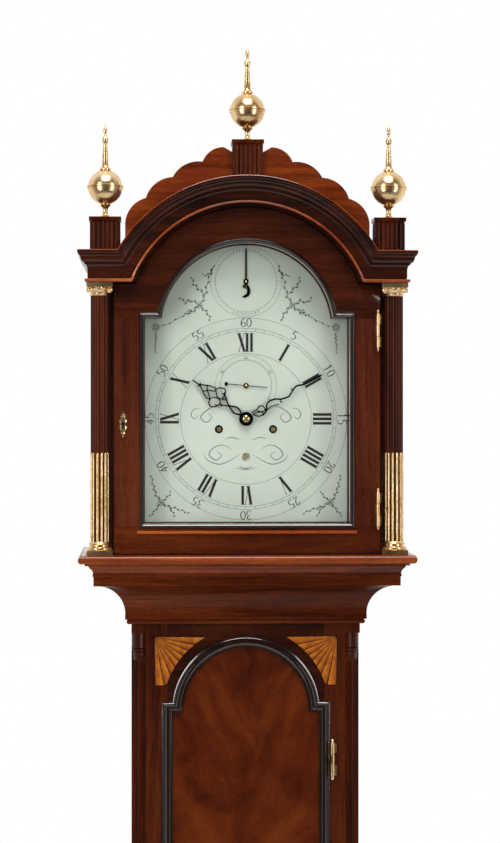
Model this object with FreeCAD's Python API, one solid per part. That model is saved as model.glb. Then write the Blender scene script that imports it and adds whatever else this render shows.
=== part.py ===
"""A mahogany longcase clock with a break-arch hood, an eight-day striking movement and a seconds pendulum.

The frame has X to the right, the front towards -Y and Z up. The origin lies on the floor, under the
middle of the cornice. All sizes are in millimetres.
"""
import FreeCAD, Part
import math
import os

Vector = FreeCAD.Vector
RIGHT = Vector(1, 0, 0)
BACKWARD = Vector(0, 1, 0)
FORWARD = Vector(0, -1, 0)
UP = Vector(0, 0, 1)

# Driving sizes of the whole clock
hood_half = 224.0
cornice_out = 19.5
trunk_half = 166.7
trunk_depth = 189.2
base_half = 220.0
cornice_half = hood_half + cornice_out
case_depth = trunk_depth + cornice_half - trunk_half
back_face = case_depth / 2
trunk_front = back_face - trunk_depth

# Heights of the stages, from the floor up, and the levels that they give
base_height = 505.0
base_moulding_rise = 45.0
trunk_rise = 956.0
throat_rise = 71.6
hood_base_rise = 31.4
hood_rise = 391.0
cornice_rise = 46.0
arch_drop = 109.2
seat_rise = 93.0
trunk_foot = base_height + base_moulding_rise
trunk_head = trunk_foot + trunk_rise
throat_top = trunk_head + throat_rise
hood_sill = throat_top + hood_base_rise
cornice_foot = hood_sill + hood_rise
cornice_head = cornice_foot + cornice_rise
arch_centre = cornice_head - arch_drop
seat_level = hood_sill + seat_rise

# Timber, clearances and the overrun that every cut uses
board = 15.0
thin_board = 8.0
running_gap = 0.3
slide_gap = 1.0
overrun = 2.0

# The arch, from the head of the door outwards
door_arch = 172.0
frieze_opening = door_arch + slide_gap
arch_reveal = 4.0
arch_mould_wide = 39.0
cornice_arch_inner = frieze_opening + arch_reveal
cornice_arch_outer = cornice_arch_inner + arch_mould_wide

# Driving sizes of the movement and the dial
centre_rise = 195.5
winding_spread = 39.5
winding_drop = 15.0
seconds_rise = 48.5
dial_half = 152.5
centre_level = hood_sill + centre_rise


def front_of(half):
    """The front of a stage of the case stands as far out as its sides do."""
    return trunk_front - (half - trunk_half)


# Shapes that every part is made with

def edges_of(outline, place):
    """Joins an outline: a pair is a corner, and four numbers are an arc's middle and its end."""
    edges = []
    here = place(*outline[0])
    for step in outline[1:]:
        end = place(*step[-2:])
        if len(step) == 4:
            edges.append(Part.Arc(here, place(*step[:2]), end).toShape())
        else:
            edges.append(Part.LineSegment(here, end).toShape())
        here = end
    return edges


def face_of(outline, place):
    """A flat face inside an outline, which a straight line closes where it stops short of its start."""
    closing = [] if outline[-1][-2:] == outline[0] else outline[:1]
    return Part.Face(Part.Wire(edges_of(outline + closing, place)))


def box(x0, x1, y0, y1, z0, z1):
    """A squared board between two limits each way."""
    return Part.makeBox(x1 - x0, y1 - y0, z1 - z0, Vector(x0, y0, z0))


def plate(outline, front, back):
    """A board with its outline in X and Z, from its front to its back."""
    face = face_of(outline, lambda x, z: Vector(x, front, z))
    return face.extrude(BACKWARD * (back - front))


def sheet(outline, low, high):
    """A board with its outline in X and Y, from its underside to its top."""
    face = face_of(outline, lambda x, y: Vector(x, y, low))
    return face.extrude(UP * (high - low))


def round_outline(radius, a, b, sides):
    """The corners of a circle in narrow flats."""
    turns = [2 * math.pi * number / sides for number in range(sides)]
    return [(a + radius * math.cos(turn), b + radius * math.sin(turn)) for turn in turns]


def disc(radius, front, back, x, z, sides=12):
    """A round plate or arbor that lies along Y, in narrow flats."""
    return plate(round_outline(radius, x, z, sides), front, back)


def hole(radius, front, back, x, z, sides=12):
    """The cutter for a round hole along Y: a disc of this radius turns freely between its flats."""
    return disc(radius / math.cos(math.pi / sides), front, back, x, z, sides)


def arbor_rod(radius, front, back, x, z):
    """A turned arbor or stud along Y, truly round for its pivot holes."""
    return Part.makeCylinder(radius, back - front, Vector(x, front, z), BACKWARD)


def post(radius, x, y, low, high, sides=12):
    """An upright rod or pin, in narrow flats."""
    return sheet(round_outline(radius, x, y, sides), low, high)


flute_depth = 1.4
flute_shares = [(0.12, 0), (0.3, 1), (0.7, 1), (0.88, 0)]


def fluted_prism(x, y, radius, first, last, count, foot, head, closing=()):
    """A round or part-round shaft whose outline dips into a shallow flute between narrow fillets."""
    step = (last - first) / count
    outline = list(closing)
    for number in range(count):
        for share, dip in flute_shares:
            turn = math.radians(first + step * (number + share))
            reach = radius - dip * flute_depth
            outline.append((x + reach * math.cos(turn), y + reach * math.sin(turn)))
    return sheet(outline, foot, head)


def turned_solid(profile, place, sides):
    """A turned solid in narrow flats, from a closed profile of radii and places along its axis."""
    turns = [2 * math.pi * number / sides for number in range(sides + 1)]
    faces = []
    for here, there in zip(profile, profile[1:] + profile[:1]):
        for first, last in zip(turns, turns[1:]):
            corners = [place(here, first), place(here, last), place(there, last), place(there, first)]
            if not here[0]:
                corners.pop(1)
            if not there[0]:
                corners.pop(2 if here[0] else 1)
            if len(corners) > 2:
                faces.append(Part.Face(Part.makePolygon(corners + corners[:1])))
    solid = Part.Solid(Part.Shell(faces))
    if solid.Volume < 0:
        solid.reverse()
    return solid.removeSplitter()


def turned(profile, x, y, z=0.0, sides=18):
    """A piece turned about an upright axis, from its radii and heights."""
    return turned_solid(profile, lambda point, turn: Vector(x + point[0] * math.cos(turn),
                                                            y + point[0] * math.sin(turn), z + point[1]), sides)


def turned_along_y(profile, x, z, sides=24):
    """A piece turned about an axis along Y, from its radii and places along Y."""
    return turned_solid(profile, lambda point, turn: Vector(x + point[0] * math.cos(turn), point[1],
                                                            z + point[0] * math.sin(turn)), sides)


def mirrored(shape):
    """The same piece on the other side of the clock."""
    return shape.mirror(Vector(0, 0, 0), RIGHT)


def joined(shapes):
    """Glued or soldered pieces as one solid."""
    return shapes[0].multiFuse(shapes[1:]).removeSplitter()


def group(shapes):
    """Separate solids that share a part."""
    return Part.makeCompound([solid for shape in shapes for solid in shape.Solids])


def both_sides(shape):
    """A pair of separate pieces, left and right."""
    return group([mirrored(shape), shape])


def arch_points(half, foot, shoulder, centre, radius):
    """The outline of a break-arch opening or door, clockwise from its lower left corner."""
    spring = math.sqrt(radius ** 2 - (shoulder - centre) ** 2)
    return [(-half, foot), (-half, shoulder), (-spring, shoulder),
            (0, centre + radius, spring, shoulder), (half, shoulder), (half, foot)]


def moulding_length(edge, out, profile, start_cut=None, end_cut=None):
    """One length of moulding: its profile stands out from the edge and up from it."""
    first = edge.FirstParameter
    last = edge.LastParameter
    start = edge.valueAt(first)
    along = edge.tangentAt(first)
    up = out.cross(along)
    reach = 2 * max(abs(size) for point in profile for size in point)
    face = face_of(profile, lambda a, b: start + out * a + up * b)
    if edge.Curve.TypeId == "Part::GeomCircle":
        centre = edge.Curve.Center
        axis = (start - centre).cross(along)
        spare = math.degrees(reach / edge.Curve.Radius)
        face.rotate(centre, axis, -spare)
        length = face.revolve(centre, axis, math.degrees(edge.Length / edge.Curve.Radius) + 2 * spare)
    else:
        face.translate(along * -reach)
        length = face.extrude(along * (edge.Length + 2 * reach))
    cuts = [(start, start_cut or -along), (edge.valueAt(last), end_cut or edge.tangentAt(last))]
    for corner, normal in cuts:
        length = length.cut(Part.makeCylinder(2 * reach, 2 * reach, corner, normal))
    return length


def mitred_run(edges, out_of, profile, closed=False):
    """Lengths of moulding along joined edges, each mitred to the next."""
    lengths = []
    for number, edge in enumerate(edges):
        before = edges[number - 1] if number or closed else None
        after = edges[(number + 1) % len(edges)] if number + 1 < len(edges) or closed else None
        start = edge.tangentAt(edge.FirstParameter)
        end = edge.tangentAt(edge.LastParameter)
        start_cut = before and -(before.tangentAt(before.LastParameter) + start)
        end_cut = after and end + after.tangentAt(after.FirstParameter)
        lengths.append(moulding_length(edge, out_of(start), profile, start_cut, end_cut))
    return group(lengths)


def three_sided(half, level, profile):
    """A moulding round the front and both sides of the case, from the back to the back."""
    front = front_of(half)
    path = [(-half, back_face), (-half, front), (half, front), (half, back_face)]
    edges = edges_of(path, lambda x, y: Vector(x, y, level))
    return mitred_run(edges, lambda along: along.cross(UP), profile)


def round_opening(outline, front, profile):
    """A moulding round a flat outline: its profile stands forward from the face and outwards."""
    edges = edges_of(outline + outline[:1], lambda x, z: Vector(x, front, z))
    return mitred_run(edges, lambda along: FORWARD, profile, closed=True)


# The case: backboard, base and plinth

rear_board = 14.8
backboard_front = back_face - rear_board
backboard_arch = cornice_arch_inner - slide_gap
backboard_drop = 22.0
backboard_shoulder = cornice_head - backboard_drop
trunk_inner = trunk_half - board


def backboard():
    """One wide board from the floor to the arch, stepped out for the base and for the hood."""
    wide = base_half - board
    narrow = trunk_inner
    hood = hood_half - board - slide_gap
    spring = math.sqrt(backboard_arch ** 2 - (backboard_shoulder - arch_centre) ** 2)
    ear = hood_sill + slide_gap
    outline = [(-wide, board), (-wide, base_height - board), (-narrow, base_height - board),
               (-narrow, ear), (-hood, ear), (-hood, backboard_shoulder), (-spring, backboard_shoulder),
               (0, arch_centre + backboard_arch, spring, backboard_shoulder),
               (hood, backboard_shoulder), (hood, ear), (narrow, ear), (narrow, base_height - board),
               (wide, base_height - board), (wide, board)]
    return plate(outline, backboard_front, back_face)


# The base is a box of boards with a raised panel on its front

skirting_height = 104.0
skirting_out = 14.0
skirting_bead = 5.0
base_panel_margin = 46.0
base_panel_rise = 4.0
base_panel_bevel = 14.0
base_front_face = front_of(base_half)


def base_front():
    """The front board of the base, with a fielded panel planted on it."""
    low = skirting_height + base_panel_margin
    high = base_height - base_panel_margin
    wide = base_half - base_panel_margin
    whole = box(-base_half, base_half, base_front_face, base_front_face + board, board, base_height)

    def rim(inset, y):
        corners = [(-wide + inset, low + inset), (-wide + inset, high - inset),
                   (wide - inset, high - inset), (wide - inset, low + inset)]
        return Part.Wire(edges_of(corners + corners[:1], lambda x, z: Vector(x, y, z)))

    field = Part.makeLoft([rim(0, base_front_face), rim(base_panel_bevel, base_front_face - base_panel_rise)],
                          True, True)
    return joined([whole, field])


def base_carcass():
    """The side boards and bottom board of the base, and the top rails that carry the trunk."""
    side = box(base_half - board, base_half, base_front_face + board, back_face, board, base_height)
    floor = box(-base_half, base_half, base_front_face, back_face, 0, board)
    low = base_height - board
    front_rail = box(-base_half + board, base_half - board, base_front_face + board, trunk_front, low, base_height)
    side_rail = box(trunk_half, base_half - board, trunk_front, back_face, low, base_height)
    return group([floor, front_rail, mirrored(side), side, mirrored(side_rail), side_rail])


def base_skirting():
    """The plinth: a double skirting with a moulded top, mitred at the corners."""
    ledge = skirting_height - 3 * skirting_bead
    profile = [(0, 0), (skirting_out, 0), (skirting_out, ledge), (skirting_out - skirting_bead, ledge),
               (skirting_out / 2 - skirting_bead / 2, ledge + skirting_bead, skirting_bead / 2, skirting_height),
               (0, skirting_height)]
    return three_sided(base_half, 0, profile)


base_hollow_rise = 4.0
hollow_foot = 9.3
fillet = 6.0
hollow_share = 0.27


def base_moulding():
    """The hollow moulding that draws the base in to the trunk."""
    wide = base_half - trunk_half
    rise = trunk_foot - base_height
    middle = (hollow_foot + (wide - hollow_foot) * hollow_share, fillet + (rise - 2 * fillet) * hollow_share)
    profile = [(0, 0), (wide, 0), (wide, fillet), middle + (hollow_foot, rise - fillet),
               (hollow_foot, rise), (0, rise)]
    return three_sided(trunk_half, base_height, profile)


# The trunk: two sides that run up as cheeks, a front frame, and quarter columns let into its corners

frame_thick = 18.0
quarter_radius = 21.0
quarter_margin = 54.0
quarter_foot = trunk_foot + quarter_margin
quarter_drop = 14.0
quarter_head = trunk_head - quarter_drop
quarter_block = 24.0
stile_wide = 44.1
trunk_door_half = trunk_half - stile_wide
door_margin = 42.0
trunk_door_foot = trunk_foot + door_margin
door_drop = 113.2
trunk_door_shoulder = trunk_head - door_drop
arch_centre_drop = 12.8
trunk_door_centre = trunk_door_shoulder - arch_centre_drop
trunk_door_arch = 107.4
door_lip = 8.0
trunk_door_opening = trunk_door_half - door_lip
quarter_side = trunk_half - quarter_radius


def trunk_sides():
    """The side boards, notched in front for the quarter columns; above the trunk they are the cheeks."""
    notch = trunk_front + quarter_radius
    foot = base_height - board
    ear = hood_sill + slide_gap
    outline = [(trunk_front, foot), (trunk_front, quarter_foot), (notch, quarter_foot),
               (notch, quarter_head), (trunk_front, quarter_head), (trunk_front, seat_level),
               (backboard_front, seat_level), (backboard_front, ear), (back_face, ear), (back_face, foot)]
    face = face_of(outline, lambda y, z: Vector(trunk_inner, y, z))
    return both_sides(face.extrude(RIGHT * board))


def trunk_stiles():
    """The upright boards on each side of the trunk door."""
    stile = box(trunk_door_opening, trunk_inner, trunk_front, trunk_front + frame_thick,
                base_height - board, throat_top)
    recess = box(quarter_side, trunk_inner + overrun, trunk_front - overrun, trunk_front + quarter_radius,
                 quarter_foot, quarter_head)
    return both_sides(stile.cut(recess))


def trunk_rails():
    """The rails above and below the trunk door; the upper one is cut to the arch."""
    wide = trunk_door_opening
    arch = trunk_door_arch - door_lip
    shoulder = trunk_door_shoulder - door_lip
    spring = math.sqrt(arch ** 2 - (shoulder - trunk_door_centre) ** 2)
    upper = plate([(-wide, shoulder), (-wide, throat_top), (wide, throat_top), (wide, shoulder),
                   (spring, shoulder), (0, trunk_door_centre + arch, -spring, shoulder)],
                  trunk_front, trunk_front + frame_thick)
    lower = box(-wide, wide, trunk_front, trunk_front + frame_thick,
                base_height - board, trunk_door_foot + door_lip)
    return group([upper, lower])


flute_count = 5


def quarter_columns():
    """Fluted quarter columns between a plain block at the head and one at the foot."""
    x = quarter_side
    y = trunk_front + quarter_radius
    corner = [(x, y), (x + quarter_radius, y),
              (x + quarter_radius * math.sqrt(0.5), y - quarter_radius * math.sqrt(0.5), x, y - quarter_radius)]
    foot = quarter_foot + quarter_block
    head = quarter_head - quarter_block
    shaft = fluted_prism(x, y, quarter_radius, -90, 0, flute_count, foot, head,
                         [(x, y), (x, y - quarter_radius)])
    return both_sides(group([shaft, sheet(corner, quarter_foot, foot), sheet(corner, head, quarter_head)]))


throat_bead = 7.0
throat_fascia = 13.0
throat_out = 54.1


def throat_moulding():
    """The hollow moulding under the hood: a bead, a wide hollow and a plain fascia."""
    rise = throat_top - trunk_head
    low = throat_bead + throat_bead / 2
    high = rise - throat_fascia
    bead_out = throat_bead
    middle = (hollow_foot + (throat_out - hollow_foot) * hollow_share, high - (high - low) * hollow_share)
    profile = [(0, 0), (bead_out / 2, 0), (bead_out, throat_bead / 2, bead_out / 2, throat_bead),
               (hollow_foot, throat_bead), (hollow_foot, low), middle + (throat_out, high),
               (throat_out, rise), (0, rise)]
    return three_sided(trunk_half, trunk_head, profile)


fan_inner = 57.0
fan_margin = 10.9
fan_outer = trunk_door_half + fan_margin
fan_drop = 18.3
fan_head = trunk_head - fan_drop
fan_rise = 71.7
fan_foot = fan_head - fan_rise
fan_arc = 121.0
veneer = 0.8


def fan_inlays():
    """Satinwood fans in the spandrels over the trunk door."""
    inner_x = math.sqrt(fan_arc ** 2 - (fan_foot - trunk_door_centre) ** 2)
    inner_z = trunk_door_centre + math.sqrt(fan_arc ** 2 - fan_inner ** 2)
    half_turn = (math.atan2(fan_foot - trunk_door_centre, inner_x)
                 + math.atan2(inner_z - trunk_door_centre, fan_inner)) / 2
    middle = (fan_arc * math.cos(half_turn), trunk_door_centre + fan_arc * math.sin(half_turn))
    outline = [(fan_inner, fan_head), (fan_outer, fan_head), (fan_outer, fan_foot), (inner_x, fan_foot),
               middle + (fan_inner, inner_z)]
    return both_sides(plate(outline, trunk_front - veneer, trunk_front))


# The trunk door: a flame-figured panel with a moulding planted round it, on brass hinges

trunk_panel_front = trunk_front - running_gap
trunk_moulding_wide = 15.6
door_gap = 0.8
hinge_drop = 97.0
hinge_margin = 76.0
trunk_hinge_levels = (trunk_door_centre - hinge_drop, trunk_door_foot + hinge_margin)
hinge_length = 49.0
knuckle_radius = 3.2
hinge_pin = 1.4
pin_clearance = 0.1
leaf_thick = 1.5
leaf_wide = 12.0
moulding_edge = 3.0
moulding_rise = 8.8
crest_share = 0.45
waist_share = 0.62
trunk_hinge_x = trunk_door_half + knuckle_radius + running_gap
trunk_hinge_y = trunk_front - leaf_thick - knuckle_radius - running_gap


def trunk_door_panel():
    """The door board, an easy fit in the opening of the trunk."""
    inset = door_lip + door_gap
    outline = arch_points(trunk_door_half - inset, trunk_door_foot + inset, trunk_door_shoulder - inset,
                          trunk_door_centre, trunk_door_arch - inset)
    return plate(outline, trunk_panel_front, trunk_front + frame_thick)


def trunk_door_moulding():
    """The ebonised moulding round the door; its outer edge laps over the frame."""
    wide = trunk_moulding_wide
    inner = arch_points(trunk_door_half - wide, trunk_door_foot + wide, trunk_door_shoulder - wide,
                        trunk_door_centre, trunk_door_arch - wide)
    profile = [(0, 0), (moulding_edge, 0), (moulding_rise, wide * crest_share), (moulding_edge, wide), (0, wide)]
    return round_opening(inner, trunk_panel_front, profile)


def hinge_knuckles(x, y, level, fixed):
    """The knuckles of one leaf: the outer pair and the pin on the fixed leaf, the middle one on the door."""
    third = hinge_length / 3
    if fixed:
        pin = Part.makeCylinder(hinge_pin, hinge_length, Vector(x, y, level), UP)
        lower = post(knuckle_radius, x, y, level, level + third - running_gap / 2)
        upper = post(knuckle_radius, x, y, level + 2 * third + running_gap / 2, level + hinge_length)
        return [pin, lower, upper]
    return [post(knuckle_radius, x, y, level + third + running_gap / 2, level + 2 * third - running_gap / 2)]


def pin_bore(x, y, level):
    """The hole that the hinge pin runs in."""
    return Part.makeCylinder(hinge_pin + pin_clearance, hinge_length + 2 * overrun,
                             Vector(x, y, level - overrun), UP)


def trunk_hinge_leaves():
    """The fixed leaves on the right stile, with the pins."""
    leaves = []
    x, y = trunk_hinge_x, trunk_hinge_y
    third = hinge_length / 3
    for level in trunk_hinge_levels:
        plate_part = box(x, x + leaf_wide, trunk_front - leaf_thick, trunk_front, level, level + hinge_length)
        webs = [box(x, x + leaf_thick, y, trunk_front, low, low + third - running_gap / 2)
                for low in (level, level + 2 * third + running_gap / 2)]
        notch = box(x - overrun, x + leaf_wide / 2, trunk_front - leaf_thick - overrun, trunk_front + overrun,
                    level + third - running_gap / 2, level + 2 * third + running_gap / 2)
        leaves.append(joined(hinge_knuckles(x, y, level, True) + webs + [plate_part.cut(notch)]))
    return group(leaves)


def trunk_door_hinges():
    """The moving leaves, screwed to the edge of the door moulding."""
    leaves = []
    x, y = trunk_hinge_x, trunk_hinge_y
    third = hinge_length / 3
    for level in trunk_hinge_levels:
        low = level + third + running_gap / 2
        high = level + 2 * third - running_gap / 2
        edge_leaf = box(trunk_door_half, trunk_door_half + leaf_thick, y - knuckle_radius,
                        trunk_panel_front, low, high)
        arm = box(trunk_door_half, x, y - knuckle_radius, y - knuckle_radius + leaf_thick, low, high)
        leaf = joined(hinge_knuckles(x, y, level, False) + [edge_leaf, arm])
        leaves.append(leaf.cut(pin_bore(x, y, level)))
    return group(leaves)


escutcheon_thick = 1.2
escutcheon_half = 7.0
escutcheon_rise = 15.0
keyhole_radius = 2.2
keyhole_slot = 1.0
key_rise = 418.0
key_inset = 26.6
trunk_key_level = trunk_door_foot + key_rise
trunk_key_x = trunk_door_half - key_inset


def keyhole_plate(x, level, face, half, rise):
    """A pierced brass plate round a keyhole, pointed above and below."""
    outline = [(x - half, level), (x - half * waist_share, level + rise * waist_share), (x, level + rise),
               (x + half * waist_share, level + rise * waist_share), (x + half, level),
               (x + half * waist_share, level - rise * waist_share), (x, level - rise),
               (x - half * waist_share, level - rise * waist_share)]
    whole = plate(outline, face - escutcheon_thick, face)
    eye = disc(keyhole_radius, face - escutcheon_thick - overrun, face + overrun, x, level)
    slot = box(x - keyhole_slot, x + keyhole_slot, face - escutcheon_thick - overrun, face + overrun,
               level - 3 * keyhole_radius, level)
    return whole.cut(eye).cut(slot)


def trunk_door_escutcheon():
    """The brass escutcheon of the trunk lock."""
    return keyhole_plate(-trunk_key_x, trunk_key_level, trunk_panel_front, escutcheon_half, escutcheon_rise)


# The hood: a base frame that slides on the throat, glazed sides, a front arch and the cornice

post_wide = 24.0
frieze_thick = 29.5
post_front = front_of(hood_half) + frieze_thick
column_inset = 12.0
column_x = hood_half - column_inset
column_radius = 13.0
hood_base_out = 18.5
hood_base_half = hood_half + hood_base_out
step_share = 0.16
nose_share = 0.58
arch_share = 0.45
hood_base_inner = trunk_half + slide_gap
window_margin_front = 34.0
window_margin_rear = 40.0
window_rise = 51.0
window_foot = hood_sill + window_rise
window_drop = 75.0
window_shoulder = cornice_foot - window_drop
glass_thick = 2.5
rebate = 5.0
roof_thick = 8.0
roof_drop = 16.0
roof_level = cornice_head - roof_drop
roof_arch = cornice_arch_inner + slide_gap
frieze_top = cornice_head
frieze_arch = cornice_arch_outer
frieze_foot = cornice_foot


def hood_base_moulding():
    """The base frame of the hood: a thumb mould over a stepped ogee, mitred at the front corners."""
    wide = hood_base_half - hood_base_inner
    rise = hood_sill - throat_top
    neck = throat_out + trunk_half - hood_base_inner
    step = (wide - neck) * step_share
    profile = [(0, 0), (neck, 0), (neck + step, rise * step_share),
               (neck + 2 * step, rise * nose_share), (wide - rise * (1 - nose_share) / 2, rise * nose_share),
               (wide, rise * (1 + nose_share) / 2, wide - rise * (1 - nose_share) / 2, rise), (0, rise)]
    return three_sided(hood_base_inner, throat_top, profile)


def hood_side_window(grow):
    """The arched opening of a side window, as an outline in Y and Z."""
    front = post_front + window_margin_front - grow
    rear = back_face - window_margin_rear + grow
    middle = (front + rear) / 2
    rise = (rear - front) / 2
    return [(front, window_foot - grow), (front, window_shoulder),
            (middle, window_shoulder + rise * arch_share + grow, rear, window_shoulder), (rear, window_foot - grow)]


def hood_sides():
    """The hood's sides, each with a glazed window, and the front posts glued inside them."""
    x = hood_half - board
    side = box(x, hood_half, post_front, back_face, hood_sill, roof_level)
    inner = face_of(hood_side_window(0), lambda y, z: Vector(x - overrun, y, z))
    outer = face_of(hood_side_window(rebate), lambda y, z: Vector(x - overrun, y, z))
    side = side.cut(inner.extrude(RIGHT * (board + 2 * overrun)))
    side = side.cut(outer.extrude(RIGHT * (board / 2 + overrun)))
    post = box(x - post_wide, x, post_front, mask_front, hood_sill, frieze_foot)
    return both_sides(group([side, post]))


def hood_side_glass():
    """The panes of the side windows, in their rebates."""
    x = hood_half - board / 2 - glass_thick
    pane = face_of(hood_side_window(rebate - door_gap), lambda y, z: Vector(x, y, z))
    return both_sides(pane.extrude(RIGHT * glass_thick))


def hood_frieze():
    """The front arch board between the door and the cornice."""
    low, high = frieze_foot, frieze_top
    spring = math.sqrt(frieze_arch ** 2 - (high - arch_centre) ** 2)
    inner = math.sqrt(frieze_opening ** 2 - (low - arch_centre) ** 2)
    outline = [(-hood_half, low), (-hood_half, high), (-spring, high),
               (0, arch_centre + frieze_arch, spring, high), (hood_half, high), (hood_half, low),
               (inner, low), (0, arch_centre + frieze_opening, -inner, low)]
    return plate(outline, front_of(hood_half), post_front)


cornice_shares = [(0, 0), (0.38, 0), (0.38, 0.09), (0.22, 0.09), (0.22, 0.43), (0.34, 0.59),
                  (0.66, 0.68), (0.76, 0.68), (1, 0.9), (1, 1), (0, 1)]


def cornice_profile(rise):
    """Bead, plain fascia, hollow, ogee and fillet, from the foot of the cornice up."""
    out = cornice_half - hood_half
    return [(out * a, rise * b) for a, b in cornice_shares]


def hood_cornice():
    """The break-arch cornice: five lengths, mitred at the springing of the arch and at the corners."""
    front = front_of(hood_half)
    rise = cornice_head - cornice_foot
    arch_rise = cornice_arch_outer - cornice_arch_inner
    low = Vector(math.sqrt(cornice_arch_inner ** 2 - (cornice_foot - arch_centre) ** 2), front, cornice_foot)
    high = Vector(math.sqrt(cornice_arch_outer ** 2 - (cornice_head - arch_centre) ** 2), front, cornice_head)
    mitre = BACKWARD.cross(high - low)
    back_run = edges_of([(low.x, front), (hood_half, front), (hood_half, back_face)],
                        lambda x, y: Vector(x, y, cornice_foot))
    corner = RIGHT + BACKWARD
    front_length = moulding_length(back_run[0], FORWARD, cornice_profile(rise), -mitre, corner)
    side_length = moulding_length(back_run[1], RIGHT, cornice_profile(rise), -corner)
    arch_edge = Part.Arc(Vector(-low.x, front, low.z), Vector(0, front, arch_centre + cornice_arch_inner),
                         low).toShape()
    left_mitre = Vector(-mitre.x, 0, mitre.z)
    arch = moulding_length(arch_edge, FORWARD, cornice_profile(arch_rise), left_mitre, mitre)
    return group([arch, front_length, side_length, mirrored(front_length), mirrored(side_length)])


def hood_roof():
    """The dust boards: flat over the shoulders and a coopered arch between them."""
    inner = math.sqrt(roof_arch ** 2 - (roof_level - arch_centre) ** 2)
    outer_arch = roof_arch + roof_thick
    high = roof_level + roof_thick
    outer = math.sqrt(outer_arch ** 2 - (high - arch_centre) ** 2)
    outline = [(-hood_half, roof_level), (-hood_half, high), (-outer, high),
               (0, arch_centre + outer_arch, outer, high), (hood_half, high), (hood_half, roof_level),
               (inner, roof_level), (0, arch_centre + roof_arch, -inner, roof_level)]
    return plate(outline, post_front, back_face)


# Above the cornice: scalloped cresting on the arch, fluted plinths and three finials

cresting_thick = 9.0
pivot_fit = 0.05
cusp_shares = [(0.158, 1.191), (0.299, 1.094), (0.497, 0.991), (0.675, 0.852), (0.812, 0.687)]
cresting_rise = 33.2
cresting_head = arch_centre + cornice_arch_outer + cresting_rise
plinth_half = 20.0
plinth_cap_half = 23.0
plinth_cap_rise = 5.5
plinth_y = front_of(hood_half) + plinth_half / 2
side_plinth_x = hood_half - plinth_half
side_plinth_rise = 47.0
finial_rise = 136.0
ball_radius = 24.8
ball_level = 43.7
ball_strips = 6
centre_plinth_rise = 51.2
centre_finial_foot = arch_centre + cornice_arch_outer + centre_plinth_rise
side_finial_foot = cornice_head + side_plinth_rise
lobe_share = 0.16


def hood_cresting():
    """The shaped board on each haunch of the arch, with four lobes between sharp cusps."""
    seat = cornice_arch_outer + pivot_fit
    cusps = [(seat * a, arch_centre + seat * b) for a, b in cusp_shares]
    crown = [(plinth_half, cresting_head), cusps[0]]
    for here, there in zip(cusps, cusps[1:]):
        run_x = there[0] - here[0]
        run_z = there[1] - here[1]
        middle = ((here[0] + there[0]) / 2 - run_z * lobe_share, (here[1] + there[1]) / 2 + run_x * lobe_share)
        crown.append(middle + there)
    turns = [math.acos(crown[0][0] / seat), math.acos(crown[-1][-2] / seat)]
    turns.insert(1, sum(turns) / 2)
    start, middle, end = [(seat * math.cos(turn), arch_centre + seat * math.sin(turn)) for turn in turns]
    front = front_of(hood_half)
    return both_sides(plate([start] + crown + [end, middle + start], front, front + cresting_thick))


def plinth(x, foot, head):
    """One fluted plinth with its cap."""
    body = box(x - plinth_half, x + plinth_half, plinth_y - plinth_half, plinth_y + plinth_half,
               foot, head - plinth_cap_rise)
    step = 2 * plinth_half / flute_count
    for number in range(flute_count - 1):
        at = x - plinth_half + step * (number + 1)
        body = body.cut(box(at - flute_depth, at + flute_depth, plinth_y - plinth_half - overrun,
                            plinth_y - plinth_half + flute_depth, foot + step, head - plinth_cap_rise - step))
    cap = box(x - plinth_cap_half, x + plinth_cap_half, plinth_y - plinth_cap_half,
              plinth_y + plinth_cap_half, head - plinth_cap_rise, head)
    return joined([body, cap])


def finial_plinths():
    """Three plinths: one scribed to the top of the arch and two on the cornice."""
    crown = arch_centre + cornice_arch_outer
    arch = Part.makeCylinder(cornice_arch_outer, 2 * case_depth, Vector(0, -case_depth, arch_centre), BACKWARD)
    centre = plinth(0, crown - plinth_cap_rise, centre_finial_foot).cut(arch)
    side = plinth(side_plinth_x, cornice_head, side_finial_foot).cut(arch)
    return group([centre, side, mirrored(side)])


def finial(x, foot):
    """One brass ball-and-spire finial, turned from its foot to its tip."""
    ball = ball_radius
    neck = ball * 0.17
    collar = ball * 0.31
    low = ball_level - math.sqrt(ball ** 2 - collar ** 2)
    rise = finial_rise
    tip = ball * 0.19
    low_turn = math.atan2(low - ball_level, collar)
    globe = []
    for number in range(ball_strips + 1):
        turn = low_turn * (1 - 2 * number / ball_strips)
        globe.append((ball * math.cos(turn), ball_level + ball * math.sin(turn)))
    profile = [(0, 0), (collar, 0), (neck, rise * 0.05), (neck, rise * 0.12)] + globe + [
        (collar, rise * 0.53), (tip, rise * 0.53), (tip / 2, rise * 0.785), (tip, rise * 0.822),
        (tip / 3, rise * 0.885), (tip * 0.7, rise * 0.917), (0, rise)]
    return turned(profile, x, plinth_y, foot)


def hood_finials():
    """Three finials alike."""
    return group([finial(0, centre_finial_foot), finial(side_plinth_x, side_finial_foot),
                  finial(-side_plinth_x, side_finial_foot)])


# The corner columns of the hood: fluted shafts, stopped with brass reeds, and brass mounts

shaft_margin = 19.0
shaft_foot = hood_sill + shaft_margin
shaft_head = cornice_foot - shaft_margin
reed_rise = 126.0
reed_head = shaft_foot + reed_rise
column_flutes = 10
column_y = front_of(column_x)
mount_half = 18.8


def column_shafts():
    """Two slender mahogany shafts, fluted from end to end."""
    shaft = fluted_prism(column_x, column_y, column_radius, 0, 360, column_flutes, shaft_foot, shaft_head)
    return both_sides(shaft)


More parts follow.
